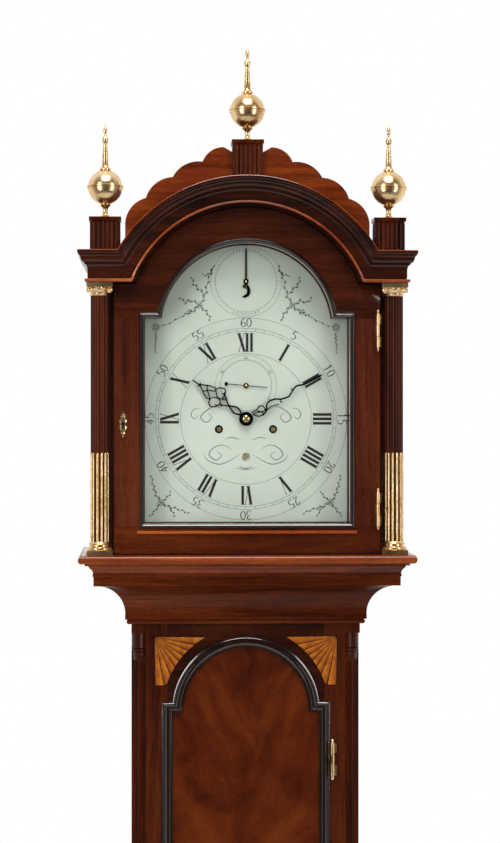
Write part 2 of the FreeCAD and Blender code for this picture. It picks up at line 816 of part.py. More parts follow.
def column_brasses():
    """Brass bases and capitals, and the reeds that stop the lower flutes."""
    x, y = column_x, column_y
    r = column_radius
    half = mount_half
    foot = shaft_foot - hood_sill
    base = joined([box(x - half, x + half, y - half, post_front, hood_sill, hood_sill + foot * 0.4),
                   turned([(0, foot * 0.4), (r * 1.3, foot * 0.4), (r * 1.3, foot * 0.7),
                           (r * 1.05, foot), (0, foot)], x, y, hood_sill)])
    rise = frieze_foot - shaft_head
    capital = joined([turned([(0, 0), (r * 1.05, 0), (r * 1.05, rise * 0.4), (r * 1.3, rise * 0.75),
                              (0, rise * 0.75)], x, y, shaft_head),
                      box(x - half, x + half, y - half, post_front, shaft_head + rise * 0.75, frieze_foot)])
    reeds = []
    step = 2 * math.pi / column_flutes
    for number in range(column_flutes):
        outline = []
        for share, dip in flute_shares:
            turn = step * (number + share)
            reach = r - dip * flute_depth
            outline.append((x + reach * math.cos(turn), y + reach * math.sin(turn)))
        reeds.append(sheet(outline, shaft_foot, reed_head))
    return both_sides(group([joined([base] + reeds), capital]))


# The dial mask and the hood door

post_thick = 12.0
mask_thick = 10.0
dial_gap = 2.0
mask_lap = 5.5
mask_front = post_front + post_thick
mask_back = mask_front + mask_thick
dial_front = mask_back + dial_gap
mask_half = dial_half - mask_lap
dial_foot = centre_level - dial_half
foot_lap = 3.0
mask_foot = dial_foot + foot_lap
dial_arch = 127.0
mask_arch = dial_arch - foot_lap
dial_arch_rise = 128.5
dial_arch_level = centre_level + dial_arch_rise
dial_shoulder_rise = 17.0
dial_shoulder = dial_arch_level + dial_shoulder_rise
door_inset = 20.5
door_half = column_x - door_inset
sill_gap = 1.5
door_set_back = 9.5
door_foot = hood_sill + sill_gap
head_gap = 2.0
door_shoulder = cornice_foot - head_gap
door_front = front_of(hood_half) + door_set_back
door_back = post_front - running_gap
sight_half = mask_half + slide_gap
sight_foot = mask_foot - slide_gap
sight_shoulder = dial_shoulder
sight_arch = mask_arch + slide_gap
inner_mould = 7.0
inner_mould_rise = 4.0
pane_thick = 2.5
hood_hinge_drop = 91.0
hood_hinge_margin = 39.5
hood_hinge_levels = (door_shoulder - hood_hinge_drop, door_foot + hood_hinge_margin)
hood_hinge_x = door_half - knuckle_radius
hood_hinge_y = door_front - knuckle_radius - leaf_thick - running_gap
hood_key_inset = 13.0
hood_key_x = door_half - hood_key_inset
hood_key_drop = 8.5
hood_key_level = centre_level - hood_key_drop


def dial_mask():
    """The frame round the dial, fixed between the posts inside the hood."""
    half = hood_half - board
    inner = math.sqrt(roof_arch ** 2 - (roof_level - arch_centre) ** 2)
    whole = plate([(-half, hood_sill), (-half, roof_level), (-inner, roof_level),
                   (0, arch_centre + roof_arch, inner, roof_level), (half, roof_level), (half, hood_sill)],
                  mask_front, mask_back)
    sight = plate(arch_points(mask_half, mask_foot, dial_shoulder, dial_arch_level, mask_arch),
                  mask_front - overrun, mask_back + overrun)
    return whole.cut(sight)


def door_outline(grow):
    """The sight opening of the hood door, grown all round."""
    return arch_points(sight_half + grow, sight_foot - grow, sight_shoulder + grow, dial_arch_level,
                       sight_arch + grow)


def hood_door_frame():
    """The stiles and rails of the hood door, rebated behind for the glass."""
    outer = arch_points(door_half, door_foot, door_shoulder, arch_centre, door_arch)
    frame = plate(outer, door_front, door_back)
    frame = frame.cut(plate(door_outline(inner_mould), door_front - overrun, door_back + overrun))
    corner = sight_half + inner_mould
    pieces = []
    low = sight_foot - inner_mould
    high = sight_shoulder + inner_mould
    rail = box(-door_half, door_half, door_front - overrun, door_back + overrun, door_foot - overrun, low)
    head = box(-door_half, door_half, door_front - overrun, door_back + overrun, high,
               door_arch + arch_centre + overrun)
    for cutter in (rail, head):
        pieces.append(frame.common(cutter))
    for side in (-1, 1):
        inner, outer_x = sorted((side * corner, side * (door_half + overrun)))
        pieces.append(frame.common(box(inner, outer_x, door_front - overrun, door_back + overrun, low, high)))
    return group(pieces)


def hood_door_moulding():
    """The dark moulding round the glass, mitred into the frame."""
    depth = door_back - door_front
    deep = pane_thick + running_gap - depth
    profile = [(deep, 0), (inner_mould_rise, inner_mould * crest_share), (0, inner_mould), (deep, inner_mould)]
    return round_opening(door_outline(0), door_front, profile)


def hood_door_glass():
    """The pane, held behind the moulding."""
    return plate(door_outline(inner_mould - running_gap), door_back - pane_thick - running_gap, door_back - running_gap)


def hood_hinge_leaves():
    """The fixed straps, bent round the edge of the door to the right post, with the pins."""
    leaves = []
    x, y = hood_hinge_x, hood_hinge_y
    edge = door_half + running_gap
    third = hinge_length / 3
    for level in hood_hinge_levels:
        high = level + hinge_length
        side = box(edge, edge + leaf_thick, y - leaf_thick / 2, post_front, level, high)
        arm = box(x, edge + leaf_thick, y - leaf_thick / 2, y + leaf_thick / 2, level, high)
        notch = box(x - knuckle_radius - overrun, edge, y - knuckle_radius - overrun, post_front + overrun,
                    level + third - running_gap / 2, level + 2 * third + running_gap / 2)
        leaves.append(joined(hinge_knuckles(x, y, level, True) + [side, arm.cut(notch)]))
    return group(leaves)


def hood_door_hinges():
    """The moving leaves on the face of the door, with turned tips."""
    leaves = []
    x, y = hood_hinge_x, hood_hinge_y
    third = hinge_length / 3
    for level in hood_hinge_levels:
        low = level + third + running_gap / 2
        high = level + 2 * third - running_gap / 2
        flag = box(x - leaf_wide, x, door_front - leaf_thick, door_front, low, high)
        web = box(x - leaf_thick / 2, x + leaf_thick / 2, y, door_front, low, high)
        leaf = joined(hinge_knuckles(x, y, level, False) + [flag, web])
        leaves.append(leaf.cut(pin_bore(x, y, level)))
    return group(leaves)


def hood_door_escutcheon():
    """The brass escutcheon of the hood lock."""
    return keyhole_plate(-hood_key_x, hood_key_level, door_front, escutcheon_half, escutcheon_rise * 1.3)


# The movement stands on the seatboard: two brass plates on pillars, with the dial pinned in front

seat_thick = 18.0
seat_set_back = 10.0
seat_depth = 84.0
seat_front = dial_front + seat_set_back
seat_back = seat_front + seat_depth
seat_inset = 6.7
seat_half = trunk_half - seat_inset
plate_half = 82.0
plate_rise = 170.0
plate_thick = 3.0
dial_standoff = 16.0
plate_gap = 61.0
front_plate = dial_front + dial_standoff
back_plate = front_plate + plate_gap
plate_foot = seat_level + seat_thick
plate_head = plate_foot + plate_rise
pillar_radius = 4.5
pillar_inset = 8.0
pivot = 1.5
arbor = 2.2
pallet_rise = 24.0
escape_level = centre_level + seconds_rise
pallet_level = escape_level + pallet_rise
barrel_level = centre_level - winding_drop
third_x = 12.0
third_rise = 26.3
third_level = centre_level + third_rise
line_radius = 1.0
barrel_radius = 21.0
pulley_radius = 22.0
line_set_back = 39.0
line_y = front_plate + line_set_back
hammer_x = -52.0
hammer_drop = 22.0
hammer_level = plate_head - hammer_drop
minute_stud_drop = 23.4


def fall_x(side):
    """Where the line leaves its barrel: on the left of both, so that the key turns to the right."""
    return side * winding_spread - barrel_radius - line_radius - running_gap


def seatboard():
    """The oak board across the cheeks, bored for the lines."""
    whole = box(-seat_half, seat_half, seat_front, seat_back, seat_level, seat_level + seat_thick)
    for side in (-1, 1):
        bore = post(3 * line_radius, fall_x(side), line_y, seat_level - overrun, seat_level + seat_thick + overrun)
        whole = whole.cut(bore)
    return whole


def movement_frame():
    """Both plates, the pillars and the back cock that the pendulum hangs from."""
    y0 = front_plate
    y3 = back_plate + plate_thick
    plates = [box(-plate_half, plate_half, y0, y0 + plate_thick, plate_foot, plate_head),
              box(-plate_half, plate_half, back_plate, y3, plate_foot, plate_head)]
    holes = [(0, centre_level), (third_x, third_level), (0, escape_level), (0, pallet_level),
             (winding_spread, barrel_level), (-winding_spread, barrel_level), (hammer_x, hammer_level),
             (0, centre_level - minute_stud_drop)]
    sizes = [arbor, pivot, pivot, pivot, 2 * arbor, 2 * arbor, pivot, pivot]
    for (x, z), size in zip(holes, sizes):
        plates = [piece.cut(hole(size + pivot_fit, y0 - overrun, y3 + overrun, x, z)) for piece in plates]
    far = plate_half - pillar_inset
    low = plate_foot + pillar_inset
    high = plate_head - pillar_inset
    pillars = [disc(pillar_radius, y0 + plate_thick, back_plate, x, z)
               for x, z in ((-far, low), (far, low), (-far, high), (far, high), (0, low + 3 * pillar_inset))]
    shelf = plate_head - cock_thick
    cock = [box(-cock_half, cock_half, y3, rod_y + cock_half / 2, shelf, plate_head),
            box(-cock_half, cock_half, y3, y3 + plate_thick, shelf - cock_half, shelf),
            box(-cock_half / 2, cock_half / 2, cock_pivot_y, cock_pivot_y + plate_thick,
                pallet_level - 3 * pivot, shelf),
            box(-spring_half / 5, spring_half / 5, rod_y - spring_half, rod_y + spring_half,
                pallet_level + block_radius + running_gap, shelf)]
    for side in (-1, 1):
        inner, outer = sorted((side * (block_radius + running_gap), side * (2 * block_radius)))
        cock.append(box(inner, outer, rod_y - 2 * pivot, rod_y + 2 * pivot,
                        pallet_level - block_radius, shelf))
    back_cock = joined(cock).cut(disc(3 * arbor, y3 - overrun, y3 + 2 * plate_thick, 0, pallet_level))
    back_cock = back_cock.cut(hole(pivot + pivot_fit, cock_pivot_y - overrun,
                                   cock_pivot_y + plate_thick + overrun, 0, pallet_level))
    return group(plates + pillars + [back_cock])


dial_thick = 2.0
dial_foot_radius = 3.0
winding_hole = 5.8
date_hole = 6.5
date_drop = 55.2
strike_rise = 71.8
strike_level = dial_arch_level + strike_rise
pipe_radius = 4.4


def dial_plate():
    """The silvered break-arch dial, with its holes, its feet and the strike dial's boss."""
    whole = plate(arch_points(dial_half, dial_foot, dial_shoulder, dial_arch_level, dial_arch),
                  dial_front, dial_front + dial_thick)
    back = dial_front + dial_thick
    holes = [(0, centre_level, pipe_radius + 2 * slide_gap), (0, escape_level, arbor), (0, strike_level, arbor),
             (winding_spread, barrel_level, winding_hole), (-winding_spread, barrel_level, winding_hole),
             (0, centre_level - date_drop, date_hole)]
    for x, z, radius in holes:
        whole = whole.cut(hole(radius, dial_front - overrun, back + overrun, x, z, 24))
    feet_x = plate_half - 3 * pillar_inset
    feet = [disc(dial_foot_radius, back, front_plate, x, z)
            for x in (-feet_x, feet_x) for z in (plate_foot + 2 * pillar_inset, plate_head - 3 * pillar_inset)]
    boss = disc(3 * arbor, back, back + dial_foot_radius, 0, strike_level)
    boss = boss.cut(hole(arbor, back - overrun, back + dial_foot_radius + overrun, 0, strike_level))
    date = disc(date_hole + overrun, back, back + pivot, 0, centre_level - date_drop)
    return group([joined([whole, boss] + feet), date])


bell_x = 6.0
bell_set_back = 32.0
bell_y = front_plate + bell_set_back
bell_gap = 28.0
bell_mouth = plate_head + bell_gap
bell_radius = 42.0
bell_rise = 38.0
bell_wall = 3.0
bell_post = 3.0
bell_shares = [(1, 0), (0.92, 0.4), (0.7, 0.75), (0, 1)]


def bell():
    """The bell on its stand, over the plates."""
    outer, inner = bell_radius, bell_radius - bell_wall
    shell = [(outer * a, bell_rise * b) for a, b in bell_shares]
    lining = [(inner * a, (bell_rise - bell_wall) * b) for a, b in bell_shares[::-1]]
    cup = turned(shell + lining, bell_x, bell_y, bell_mouth)
    top = bell_mouth + bell_rise
    stand = post(bell_post, bell_x, bell_y, plate_head, top + 2 * bell_post)
    cup = cup.cut(stand)
    foot = box(bell_x - 2 * bell_post, bell_x + 2 * bell_post, bell_y - 2 * bell_post,
               back_plate + plate_thick, plate_head, plate_head + plate_thick)
    nut = post(2 * bell_post, bell_x, bell_y, top, top + bell_post)
    return group([cup, joined([stand, foot, nut])])


# The wheels: straight-flanked teeth, pointed at the tip, with room to run

wheel_thick = 2.6
great_teeth, centre_leaves = 72, 6
centre_teeth, third_leaves = 60, 8
third_teeth, escape_leaves = 48, 6
escape_teeth = 30
hour_teeth, minute_leaves = 72, 6
cannon_teeth = 36
strike_teeth = 64
escape_radius = 17.0


def turn_towards(x0, z0, x1, z1):
    """The direction from one arbor to another."""
    return math.atan2(z1 - z0, x1 - x0)


def toothed(teeth, pitch_radius, x, z, front, back, towards, space=False):
    """A wheel or pinion with a tooth, or a space between two, on the line to its neighbour."""
    step = 2 * math.pi / teeth
    tip = pitch_radius * (1 + tip_share / teeth)
    root = pitch_radius * (1 - root_share / teeth)
    outline = []
    for number in range(teeth):
        turn = towards + step * (number + (0.5 if space else 0))
        for radius, share in ((root, -0.5), (tip, 0)):
            angle = turn + step * share
            outline.append((x + radius * math.cos(angle), z + radius * math.sin(angle)))
    return plate(outline, front, back)


def crossed_out(wheel, x, z, rim, hub, front, back, arms=4):
    """The wheel with its crossings cut, which leave a rim and narrow arms."""
    step = 2 * math.pi / arms
    for number in range(arms):
        first = step * number + step * arm_share
        last = step * (number + 1) - step * arm_share
        middle = (first + last) / 2

        def at(radius, angle):
            return (x + radius * math.cos(angle), z + radius * math.sin(angle))

        outline = [at(hub, middle), at(rim, first), at(rim, middle) + at(rim, last)]
        wheel = wheel.cut(plate(outline, front - overrun, back + overrun))
    return wheel


great_radius = math.hypot(winding_spread, winding_drop) * great_teeth / (great_teeth + centre_leaves)
centre_pinion_radius = great_radius * centre_leaves / great_teeth
third_distance = math.hypot(third_x, third_level - centre_level)
centre_radius = third_distance * centre_teeth / (centre_teeth + third_leaves)
third_pinion_radius = third_distance - centre_radius
escape_distance = math.hypot(third_x, escape_level - third_level)
third_radius = escape_distance * third_teeth / (third_teeth + escape_leaves)
escape_pinion_radius = escape_distance - third_radius
strike_radius = great_radius * strike_teeth / great_teeth
hour_radius = minute_stud_drop * hour_teeth / (hour_teeth + minute_leaves)
cannon_radius = minute_stud_drop / 2
great_front = front_plate + plate_thick + 3 * slide_gap
centre_front = back_plate - plate_thick - 4 * slide_gap
third_front = great_front + 6 * plate_thick
escape_front = third_front - 3 * plate_thick
hour_front = dial_front + dial_thick + 4 * slide_gap
minute_wheel_front = front_plate - wheel_thick - slide_gap
winding_square = 3.2
tip_share = 1.3
root_share = 2.6
escape_lean_share = 0.35
arm_share = 0.07


def barrel_wheel(x, teeth, radius, towards):
    """A great wheel with its barrel, wound with gut, and the arbor that the key winds."""
    z = barrel_level
    front, back = great_front, great_front + wheel_thick
    wheel = toothed(teeth, radius, x, z, front, back, towards)
    end = back_plate - 3 * plate_thick
    drum = disc(barrel_radius, back, end, x, z, 32)
    flange = disc(barrel_radius + plate_thick, end, end + slide_gap, x, z, 32)
    spindle = arbor_rod(2 * arbor, front_plate, back_plate + plate_thick, x, z)
    square = box(x - winding_square, x + winding_square, dial_front - slide_gap, front_plate,
                 z - winding_square, z + winding_square)
    return joined([wheel, drum, flange, spindle, square])


def going_great_wheel():
    """The great wheel, barrel and winding arbor of the going train."""
    towards = turn_towards(winding_spread, barrel_level, 0, centre_level)
    return barrel_wheel(winding_spread, great_teeth, great_radius, towards)


def strike_great_wheel():
    """The great wheel, barrel and winding arbor of the strike."""
    return barrel_wheel(-winding_spread, strike_teeth, strike_radius, 0)


def centre_wheel():
    """The centre arbor with its pinion and wheel."""
    to_great = turn_towards(0, centre_level, winding_spread, barrel_level)
    to_third = turn_towards(0, centre_level, third_x, third_level)
    pinion = toothed(centre_leaves, centre_pinion_radius, 0, centre_level, great_front - slide_gap,
                     great_front + wheel_thick + slide_gap, to_great, True)
    back = centre_front + wheel_thick
    wheel = toothed(centre_teeth, centre_radius, 0, centre_level, centre_front, back, to_third)
    wheel = crossed_out(wheel, 0, centre_level, centre_radius * 0.86, 4 * arbor, centre_front, back)
    spindle = disc(arbor, minute_hand_front - slide_gap, back_plate + plate_thick, 0, centre_level)
    return joined([pinion, wheel, spindle])


def third_wheel():
    """The third arbor."""
    x, z = third_x, third_level
    pinion = toothed(third_leaves, third_pinion_radius, x, z, centre_front - slide_gap,
                     centre_front + wheel_thick + slide_gap, turn_towards(x, z, 0, centre_level), True)
    wheel = toothed(third_teeth, third_radius, x, z, third_front, third_front + wheel_thick,
                    turn_towards(x, z, 0, escape_level))
    wheel = crossed_out(wheel, x, z, third_radius * 0.85, 4 * pivot, third_front, third_front + wheel_thick)
    return joined([pinion, wheel, disc(pivot, front_plate, back_plate + plate_thick, x, z)])


def escape_wheel():
    """The escape wheel: thirty pointed teeth that lean forward, on an arbor that carries the seconds hand."""
    z = escape_level
    step = 2 * math.pi / escape_teeth
    outline = []
    for number in range(escape_teeth):
        for radius, share in ((escape_radius, 0), (escape_radius * 0.84, escape_lean_share)):
            angle = step * (number + share)
            outline.append((radius * math.cos(angle), z + radius * math.sin(angle)))
    back = escape_front + wheel_thick / 2
    wheel = plate(outline, escape_front, back)
    wheel = crossed_out(wheel, 0, z, escape_radius * 0.72, 3 * pivot, escape_front, back)
    pinion = toothed(escape_leaves, escape_pinion_radius, 0, z, third_front - slide_gap,
                     third_front + wheel_thick + slide_gap, turn_towards(0, z, third_x, third_level), True)
    spindle = disc(pivot, seconds_front, back_plate + plate_thick, 0, z)
    return joined([wheel, pinion, spindle])


# The motion work and the hands

hand_thick = 1.0
hand_steps = (2.2, 2.0, 3.0)
seconds_front = dial_front - hand_steps[0]
hour_hand_front = seconds_front - hand_steps[1]
minute_hand_front = hour_hand_front - hand_steps[2]
cannon_pipe = 3.0
hour_heading = math.radians(305)
minute_heading = math.radians(60)
seconds_heading = math.radians(95)
hour_hand_length = 96.6
minute_hand_length = 127.5
seconds_hand_length = 31.0
strike_hand_length = 48.0
hand_width = 1.7
hand_boss = 10.3
loop_turns = [2 * math.pi * number / 8 for number in range(8)]
minute_wave_shares = [(0.06, 0.0), (0.228, -0.035), (0.307, 0.016), (0.398, 0.036), (0.467, 0.002),
                      (0.545, -0.024), (0.6, 0.006), (0.644, 0.036), (0.717, 0.032), (0.77, 0.008), (1.0, 0.0)]
minute_scroll_shares = [(0.228, -0.035), (0.3, -0.012), (0.36, -0.028), (0.413, -0.051)]
hour_bow_shares = [(0.1, 0.0), (0.2, 0.05), (0.31, 0.0), (0.42, 0.12), (0.56, 0.13), (0.7, 0.07), (0.84, 0.0)]
hour_loop_shares = [(0.46, 0.06, 0.055), (0.46, -0.06, 0.055), (0.58, 0.065, 0.05), (0.58, -0.065, 0.05),
                    (0.69, 0.035, 0.04), (0.69, -0.035, 0.04), (0.36, 0.0, 0.05)]
minute_loop_shares = [(0.11, 0.035, 0.038), (0.11, -0.035, 0.038), (0.175, 0.0, 0.038)]


def cannon_pinion():
    """The cannon wheel and its pipe, which carries the minute hand."""
    back = minute_wheel_front + wheel_thick
    wheel = toothed(cannon_teeth, cannon_radius, 0, centre_level, minute_wheel_front, back, -math.pi / 2)
    pipe = disc(cannon_pipe, minute_hand_front + hand_thick, back, 0, centre_level)
    bore = disc(arbor, minute_hand_front - overrun, back + overrun, 0, centre_level)
    return joined([wheel, pipe]).cut(bore)


def minute_wheel():
    """The minute wheel with its pinion, between the cannon wheel and the hour wheel."""
    z = centre_level - minute_stud_drop
    back = minute_wheel_front + wheel_thick
    wheel = toothed(cannon_teeth, cannon_radius, 0, z, minute_wheel_front, back, math.pi / 2, True)
    pinion = toothed(minute_leaves, minute_stud_drop - hour_radius, 0, z, hour_front - slide_gap,
                     minute_wheel_front, math.pi / 2, True)
    return joined([wheel, pinion, arbor_rod(pivot, back, front_plate + plate_thick, 0, z)])


def hour_wheel():
    """The hour wheel on its pipe, an easy fit over the cannon pipe."""
    back = hour_front + wheel_thick
    wheel = toothed(hour_teeth, hour_radius, 0, centre_level, hour_front, back, -math.pi / 2)
    pipe = disc(pipe_radius, hour_hand_front + hand_thick, back, 0, centre_level)
    bore = hole(cannon_pipe + pivot_fit, hour_hand_front - overrun, back + overrun, 0, centre_level)
    return joined([wheel, pipe]).cut(bore)


def on_hand(heading, level):
    """Places a point that is given along a hand and to its left."""
    def place(along, left):
        return (along * math.sin(heading) - left * math.cos(heading),
                level + along * math.cos(heading) + left * math.sin(heading))
    return place


def strap(points, width, front, back, place):
    """A flat bar of one width along hand-set points."""
    lefts, rights = [], []
    for number, (along, left) in enumerate(points):
        before = points[max(number - 1, 0)]
        after = points[min(number + 1, len(points) - 1)]
        run = math.hypot(after[0] - before[0], after[1] - before[1])
        normal = (-(after[1] - before[1]) / run * width / 2, (after[0] - before[0]) / run * width / 2)
        lefts.append(place(along + normal[0], left + normal[1]))
        rights.append(place(along - normal[0], left - normal[1]))
    return plate(lefts + rights[::-1], front, back)


def ring(along, left, radius, width, front, back, place):
    """A pierced loop of a hand."""
    sides = []
    for reach, y0, y1 in ((radius, front, back), (radius - width, front - overrun, back + overrun)):
        outline = [place(along + reach * math.cos(turn), left + reach * math.sin(turn)) for turn in loop_turns]
        sides.append(plate(outline, y0, y1))
    return sides[0].cut(sides[1])


def minute_hand():
    """The long hand: two loops at the boss, then a scrolled and waved blade with a straight tip."""
    front, back = minute_hand_front, minute_hand_front + hand_thick
    place = on_hand(minute_heading, centre_level)
    length = minute_hand_length
    wave = [(length * a, length * b) for a, b in minute_wave_shares]
    scroll = [(length * a, length * b) for a, b in minute_scroll_shares]
    loops = [ring(length * a, length * b, length * c, hand_width, front, back, place)
             for a, b, c in minute_loop_shares]
    boss = disc(hand_boss, front, back, 0, centre_level, 32)
    hand = joined([boss, strap(wave, hand_width, front, back, place), strap(scroll, hand_width, front, back, place)]
                  + loops)
    return hand.cut(disc(arbor, front - overrun, back + overrun, 0, centre_level))


def hour_hand():
    """The short hand: a pierced lattice of loops between two bowed sides, and a straight tip."""
    front, back = hour_hand_front, hour_hand_front + hand_thick
    place = on_hand(hour_heading, centre_level)
    length = hour_hand_length
    spine = [(length * 0.05, 0), (length, 0)]
    bow = [(length * a, length * b) for a, b in hour_bow_shares]
    other = [(along, -left) for along, left in bow]
    loops = [ring(length * a, length * b, length * c, hand_width, front, back, place)
             for a, b, c in hour_loop_shares]
    boss = disc(pipe_radius + hand_width, front, back, 0, centre_level)
    straps = [strap(points, hand_width, front, back, place) for points in (spine, bow, other)]
    hand = joined([boss] + straps + loops)
    return hand.cut(hole(cannon_pipe + pivot_fit, front - overrun, back + overrun, 0, centre_level))


def seconds_hand():
    """The seconds hand with its round counterpoise."""
    front, back = seconds_front, seconds_front + hand_thick
    place = on_hand(seconds_heading, escape_level)
    length = seconds_hand_length
    tail_x, tail_z = place(-length * 0.95, 0)
    hand = joined([disc(2.4 * pivot, front, back, 0, escape_level),
                   disc(hand_width * 1.6, front, back, tail_x, tail_z),
                   strap([(-length * 0.95, 0), (length, 0)], hand_width / 2, front, back, place)])
    return hand.cut(disc(pivot, front - overrun, back + overrun, 0, escape_level))


def strike_hand():
    """The strike and silent hand, with a crescent tail, on its arbor through the dial."""
    front, back = seconds_front, seconds_front + hand_thick
    place = on_hand(0, strike_level)
    length = strike_hand_length
    blade = strap([(-length * 0.3, 0), (length, 0)], hand_width, front, back, place)
    tail = ring(-length * 0.36, 0, length * 0.1, hand_width, front, back, place)
    loop = ring(length * 0.3, 0, length * 0.09, hand_width, front, back, place)
    boss_back = dial_front + dial_thick + dial_foot_radius
    spindle = arbor_rod(arbor - pivot_fit, seconds_front, boss_back + dial_foot_radius, 0, strike_level)
    collar = disc(2 * arbor, boss_back, boss_back + dial_foot_radius, 0, strike_level)
    return joined([blade, tail, loop, disc(1.6 * arbor, front, back, 0, strike_level), spindle, collar])


# The anchor, the crutch and the pendulum

rod_set_back = 31.0
rod_y = back_plate + rod_set_back
rod_radius = 2.5
block_radius = 3.0
spring_half = 3.0
cock_half = 14.0
cock_thick = 6.0
cock_pivot_gap = 13.0
cock_pivot_y = back_plate + cock_pivot_gap
crutch_gap = 7.0
crutch_y = back_plate + crutch_gap
crutch_drop = 95.0
crutch_thick = 2.0
pendulum_length = 994.0
bob_radius = 55.0
bob_thick = 30.0
rating_nut = 9.0
anchor_shares = [(0.55, 0.2), (0.95, -0.3), (0.97, -0.68), (0.78, -0.69), (0.62, -0.42)]
bob_shares = [(0, 1), (0.4, 0.9), (0.75, 0.55), (1, 0.06)]
bob_level = pallet_level - pendulum_length


def pallet_anchor():
    """The anchor over the escape wheel, its arbor, and the crutch that drives the pendulum."""
    z = pallet_level
    r = escape_radius
    side = [(r * a, z + r * b) for a, b in anchor_shares]
    outline = [(0, z + 2 * arbor)] + side + [(0, z - 2 * arbor)] + [(-x, level) for x, level in side[::-1]]
    anchor = plate(outline, escape_front - slide_gap, escape_front + wheel_thick)
    spindle = arbor_rod(pivot, front_plate, cock_pivot_y + plate_thick, 0, z)
    body = disc(arbor, front_plate + plate_thick + slide_gap, back_plate - slide_gap, 0, z)
    foot = z - crutch_drop
    inner = rod_radius + running_gap
    outer = inner + crutch_thick
    stem = box(-crutch_thick, crutch_thick, crutch_y, crutch_y + crutch_thick, foot, z)
    bridge = box(-outer, outer, crutch_y, crutch_y + crutch_thick, foot, foot + 2 * crutch_thick)
    fork = [box(a, b, crutch_y, rod_y + rod_radius, foot, foot + 2 * crutch_thick)
            for a, b in ((-outer, -inner), (inner, outer))]
    return joined([anchor, spindle, body, stem, bridge] + fork)


def pendulum_rod():
    """The steel rod from its suspension block down to the rating screw and nut."""
    foot = bob_level - bob_radius - rating_nut * 1.6
    head = pallet_level - block_radius / 2
    rod = post(rod_radius, 0, rod_y, foot, head)
    block = arbor_rod(block_radius, rod_y - spring_half, rod_y + spring_half, 0, pallet_level)
    nut = post(rating_nut, 0, rod_y, bob_level - bob_radius - rating_nut, bob_level - bob_radius)
    return joined([rod, block, nut])


def pendulum_bob():
    """The brass-faced lenticular bob, bored for the rod."""
    half = bob_thick / 2
    front = [(bob_radius * a, rod_y - half * b) for a, b in bob_shares]
    back = [(bob_radius * a, rod_y + half * b) for a, b in bob_shares[::-1]]
    lens = turned_along_y(front + back, 0, bob_level)
    bore = post(rod_radius + pivot_fit, 0, rod_y, bob_level - 2 * bob_radius, bob_level + 2 * bob_radius)
    return lens.cut(bore)


# The weights with their pulleys and lines

weight_radius = 28.0
weight_rise = 185.0
pulley_drop = 25.0
pulley_rest = base_height - pulley_drop
pulley_rim = 1.5
pulley_thick = 5.0
strap_thick = 1.5
pivot_clearance = 0.4


def weight(side):
    """A brass-cased lead weight under its pulley stirrup."""
    x = fall_x(side) + pulley_radius
    top = pulley_rest - pulley_radius - 2 * pulley_thick
    rim = strap_thick
    case = turned([(0, -weight_rise), (weight_radius - rim, -weight_rise), (weight_radius - rim, -4 * rim),
                   (weight_radius, -4 * rim), (weight_radius, 0), (0, 0)], x, line_y, top - pulley_thick)
    half = pulley_thick / 2 + pivot_clearance
    hook = post(2 * strap_thick, x, line_y, top - pulley_thick, top)
    foot = box(x - pulley_thick, x + pulley_thick, line_y - half - strap_thick, line_y + half + strap_thick,
               top, top + strap_thick)
    sides = [box(x - pulley_thick, x + pulley_thick, line_y + a, line_y + b, top, pulley_rest + pulley_thick)
             for a, b in ((-half - strap_thick, -half), (half, half + strap_thick))]
    axle = arbor_rod(arbor, line_y - half - strap_thick, line_y + half + strap_thick, x, pulley_rest)
    return joined([case, hook, foot, axle] + sides)


def pulley(side):
    """The brass pulley that the line runs under."""
    x = fall_x(side) + pulley_radius
    half = pulley_thick / 2
    root = pulley_radius - line_radius - pivot_fit
    bottom = line_radius + pivot_fit
    bore = arbor + 2 * pivot_fit
    rim = pulley_radius + pulley_rim
    return turned_along_y([(bore, line_y - half), (rim, line_y - half), (root, line_y - bottom),
                           (root, line_y + bottom), (rim, line_y + half), (bore, line_y + half)], x, pulley_rest)


def line(side):
    """The gut line: down from the barrel, under the pulley and up to the seatboard."""
    r = line_radius
    x = fall_x(side) + pulley_radius
    falls = [post(r, x - pulley_radius, line_y, pulley_rest, barrel_level, 12),
             post(r, x + pulley_radius, line_y, pulley_rest, seat_level, 12)]
    bend = disc(pulley_radius + r, line_y - r / 2, line_y + r / 2, x, pulley_rest, 32)
    bend = bend.cut(hole(pulley_radius - r, line_y - r, line_y + r, x, pulley_rest, 32))
    bend = bend.cut(box(-case_depth, case_depth, line_y - r, line_y + r, pulley_rest, barrel_level))
    return joined([bend] + falls)


hammer_rise = 57.0
hammer_head = 6.0
hammer_gap = 1.0


def bell_hammer():
    """The hammer on its arbor between the plates, at rest just off the bell."""
    x, z = hammer_x, hammer_level
    head_end = bell_x - bell_radius - hammer_gap
    head_level = z + hammer_rise
    head = face_of(round_outline(hammer_head, bell_y, head_level, 16),
                   lambda y, z: Vector(x - 2 * hammer_head, y, z))
    head = head.extrude(RIGHT * (head_end - x + 2 * hammer_head))
    stem = box(x - pivot, x + pivot, bell_y - pivot, bell_y + pivot, z, head_level)
    return joined([arbor_rod(pivot, front_plate, back_plate + plate_thick, x, z), stem, head])


